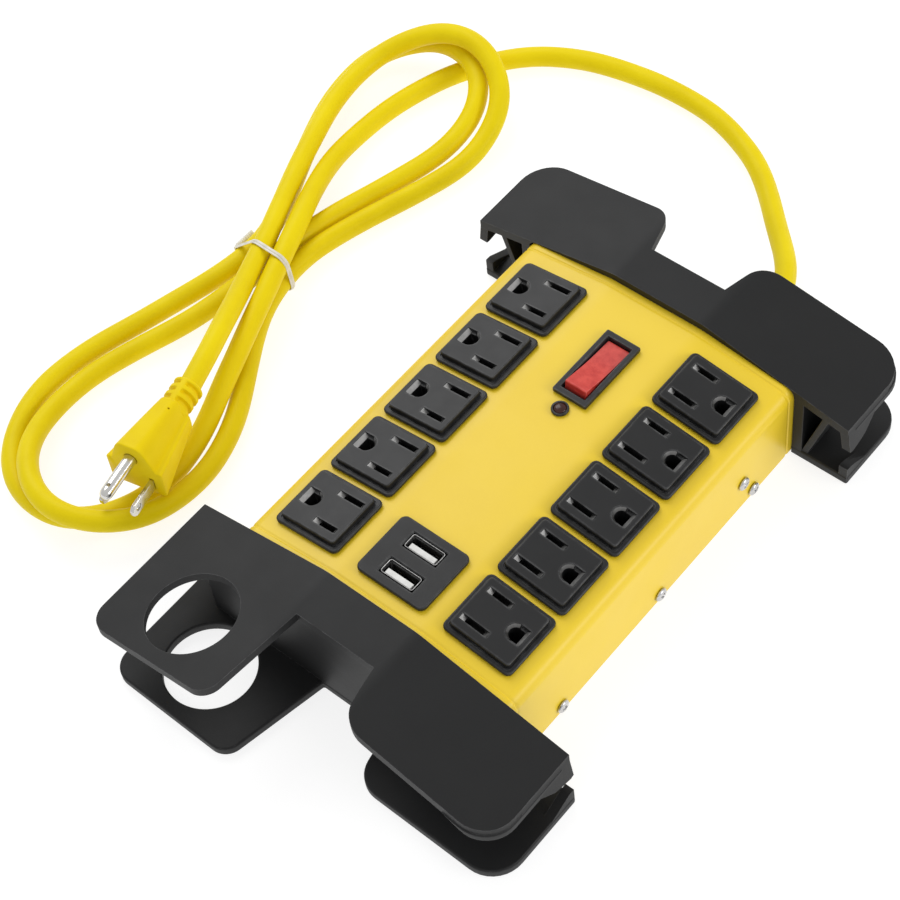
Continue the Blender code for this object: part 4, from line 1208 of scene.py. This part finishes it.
def build_switch():
    x, y = SWITCH
    bezel = solid(around(x, y, 7.1, 15.5, 0.6, 3), TOP + GAP, TOP + 2.0)
    bezel = bevel(bezel, 0.3, 2, 50)
    well = block((x - 5.9, y - 13.8, TOP - 14), (x + 5.9, y + 13.8, TOP + 1))
    body = join(bezel, well)
    body = cut(body, block((x - 4.9, y - 12.9, TOP - 12), (x + 4.9, y + 12.9, 60)))
    rings = []
    for z, grow in ((TOP + 1.5, 0.0), (TOP + 2.2, 0.45)):
        outline = around(x, y, 4.9 + grow, 12.9 + grow)
        rings.append([Vector((u, v, z)) for u, v in outline])
    body = cut(body, loft(rings))
    side_on = shift(x, y, PIVOT_Z) @ turn(90, "Y")
    axle = lathe([(0, -5.75), (PIVOT_R, -5.75), (PIVOT_R, 5.75), (0, 5.75)], 24, side_on)
    body = cut(body, axle)
    for side in (1, -1):
        middle = y + side * 9
        tab = block((x - 2.4, middle - 0.4, TOP - 20), (x + 2.4, middle + 0.4, TOP - 13))
        body = join(body, bevel(tab, 0.1, 1, 50))
    piece("switch_bezel", body, BLACK, replaces=["switch_body"], sharp=34)

    section = rounded(
        [(-12.2, 1.0), (-6.0, -4.6), (6.0, -4.6), (12.2, 1.0), (12.2, 5.2), (0.0, 4.3),
         (-12.2, 5.2)],
        [1.0, 1.5, 1.5, 1.0, 0.6, 60.0, 0.6], 12,
    )
    rocker = solid(section, -4.5, 4.5, "X")
    bore = lathe([(0, -8), (PIVOT_R, -8), (PIVOT_R, 8), (0, 8)], 28, turn(90, "Y"))
    rocker = bevel(cut(rocker, bore), 0.4, 3, 50)
    rocker.transform(shift(x, y, PIVOT_Z) @ Matrix.Rotation(ROCKER_REST, 4, "X"))
    piece("rocker_cap", rocker, RED, body="rocker", replaces=["switch_rocker"],
          sharp=34)


def build_indicator():
    x, y = LAMP
    ring = lathe(
        [(2.45, -0.5), (3.0, GAP), (3.15, GAP + 0.1), (3.15, 0.9), (2.9, 1.25), (2.55, 1.3),
         (2.35, 1.1), (2.3, 0.2)],
        48, shift(x, y, TOP),
    )
    dome = lathe(
        [(0, -7.0), (2.35, -7.0), (2.35, 0.75), (2.2, 1.1), (1.75, 1.45), (1.0, 1.68), (0, 1.75)],
        48, shift(x, y, TOP),
    )
    piece("indicator_ring", ring, BLACK, flat=False)
    piece("indicator_dome", dome, LENS, replaces=["indicator_lens"], flat=False)


build_switch()
build_indicator()

# ---------------------------------------------------------------- CAD pieces kept as they are
KEPT = {
    "base_plate": STEEL,
    "rocker_pin": STEEL,
    "usb_board": BOARD,
    "surge_board": BOARD,
    "indicator_lamp": RED,
}
for name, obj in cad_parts.items():
    material = KEPT.get(name)
    if "_bar_" in name:
        material = BRASS
    if name.startswith("varistor"):
        material = BLUE
    if material is not None:
        obj.data.materials.clear()
        obj.data.materials.append(material)


# ---------------------------------------------------------------- stage
FLOOR_HALF = 4.0


def build_stage():
    """A plain white floor that glows faintly, so the shadows on it stay pale."""
    half = FLOOR_HALF
    bm = bmesh.new()
    corners = [(-half, -half), (half, -half), (half, half), (-half, half)]
    bm.faces.new([bm.verts.new((x, y, 0.0)) for x, y in corners])
    mesh = to_mesh(bm, "floor")
    floor = bpy.data.objects.new("floor", mesh)
    SCENE.objects.link(floor)
    paper = surface(
        "floor_paper", (0.30, 0.30, 0.30), (0.31, 0.31, 0.31), 0.8, 0.03, patch=4.0,
        grain=300.0, grain_depth=0.01, Specular_IOR_Level=0.1,
        Emission_Color=(1.0, 1.0, 1.0, 1.0), Emission_Strength=0.80,
    )
    mesh.materials.append(paper)


def area_light(name, place, aim, size, power):
    data = bpy.data.lights.new(name, "AREA")
    data.shape = "RECTANGLE"
    data.size = size[0]
    data.size_y = size[1]
    data.energy = power
    light = bpy.data.objects.new(name, data)
    SCENE.objects.link(light)
    light.location = place
    light.rotation_euler = (Vector(aim) - Vector(place)).to_track_quat("-Z", "Y").to_euler()


def build_lights():
    world = bpy.data.worlds.new("studio")
    bpy.context.scene.world = world
    world.use_nodes = True
    background = world.node_tree.nodes["Background"]
    background.inputs["Color"].default_value = (1.0, 1.0, 1.0, 1.0)
    background.inputs["Strength"].default_value = 0.70
    area_light("key", (-0.85, 0.45, 1.0), (0, 0, 0), (0.8, 0.8), 6.5)
    area_light("side", (1.07, 0.39, 0.55), (0, 0, 0.02), (0.6, 0.4), 4.4)
    bpy.context.scene.view_settings.view_transform = "Standard"


build_stage()
build_lights()
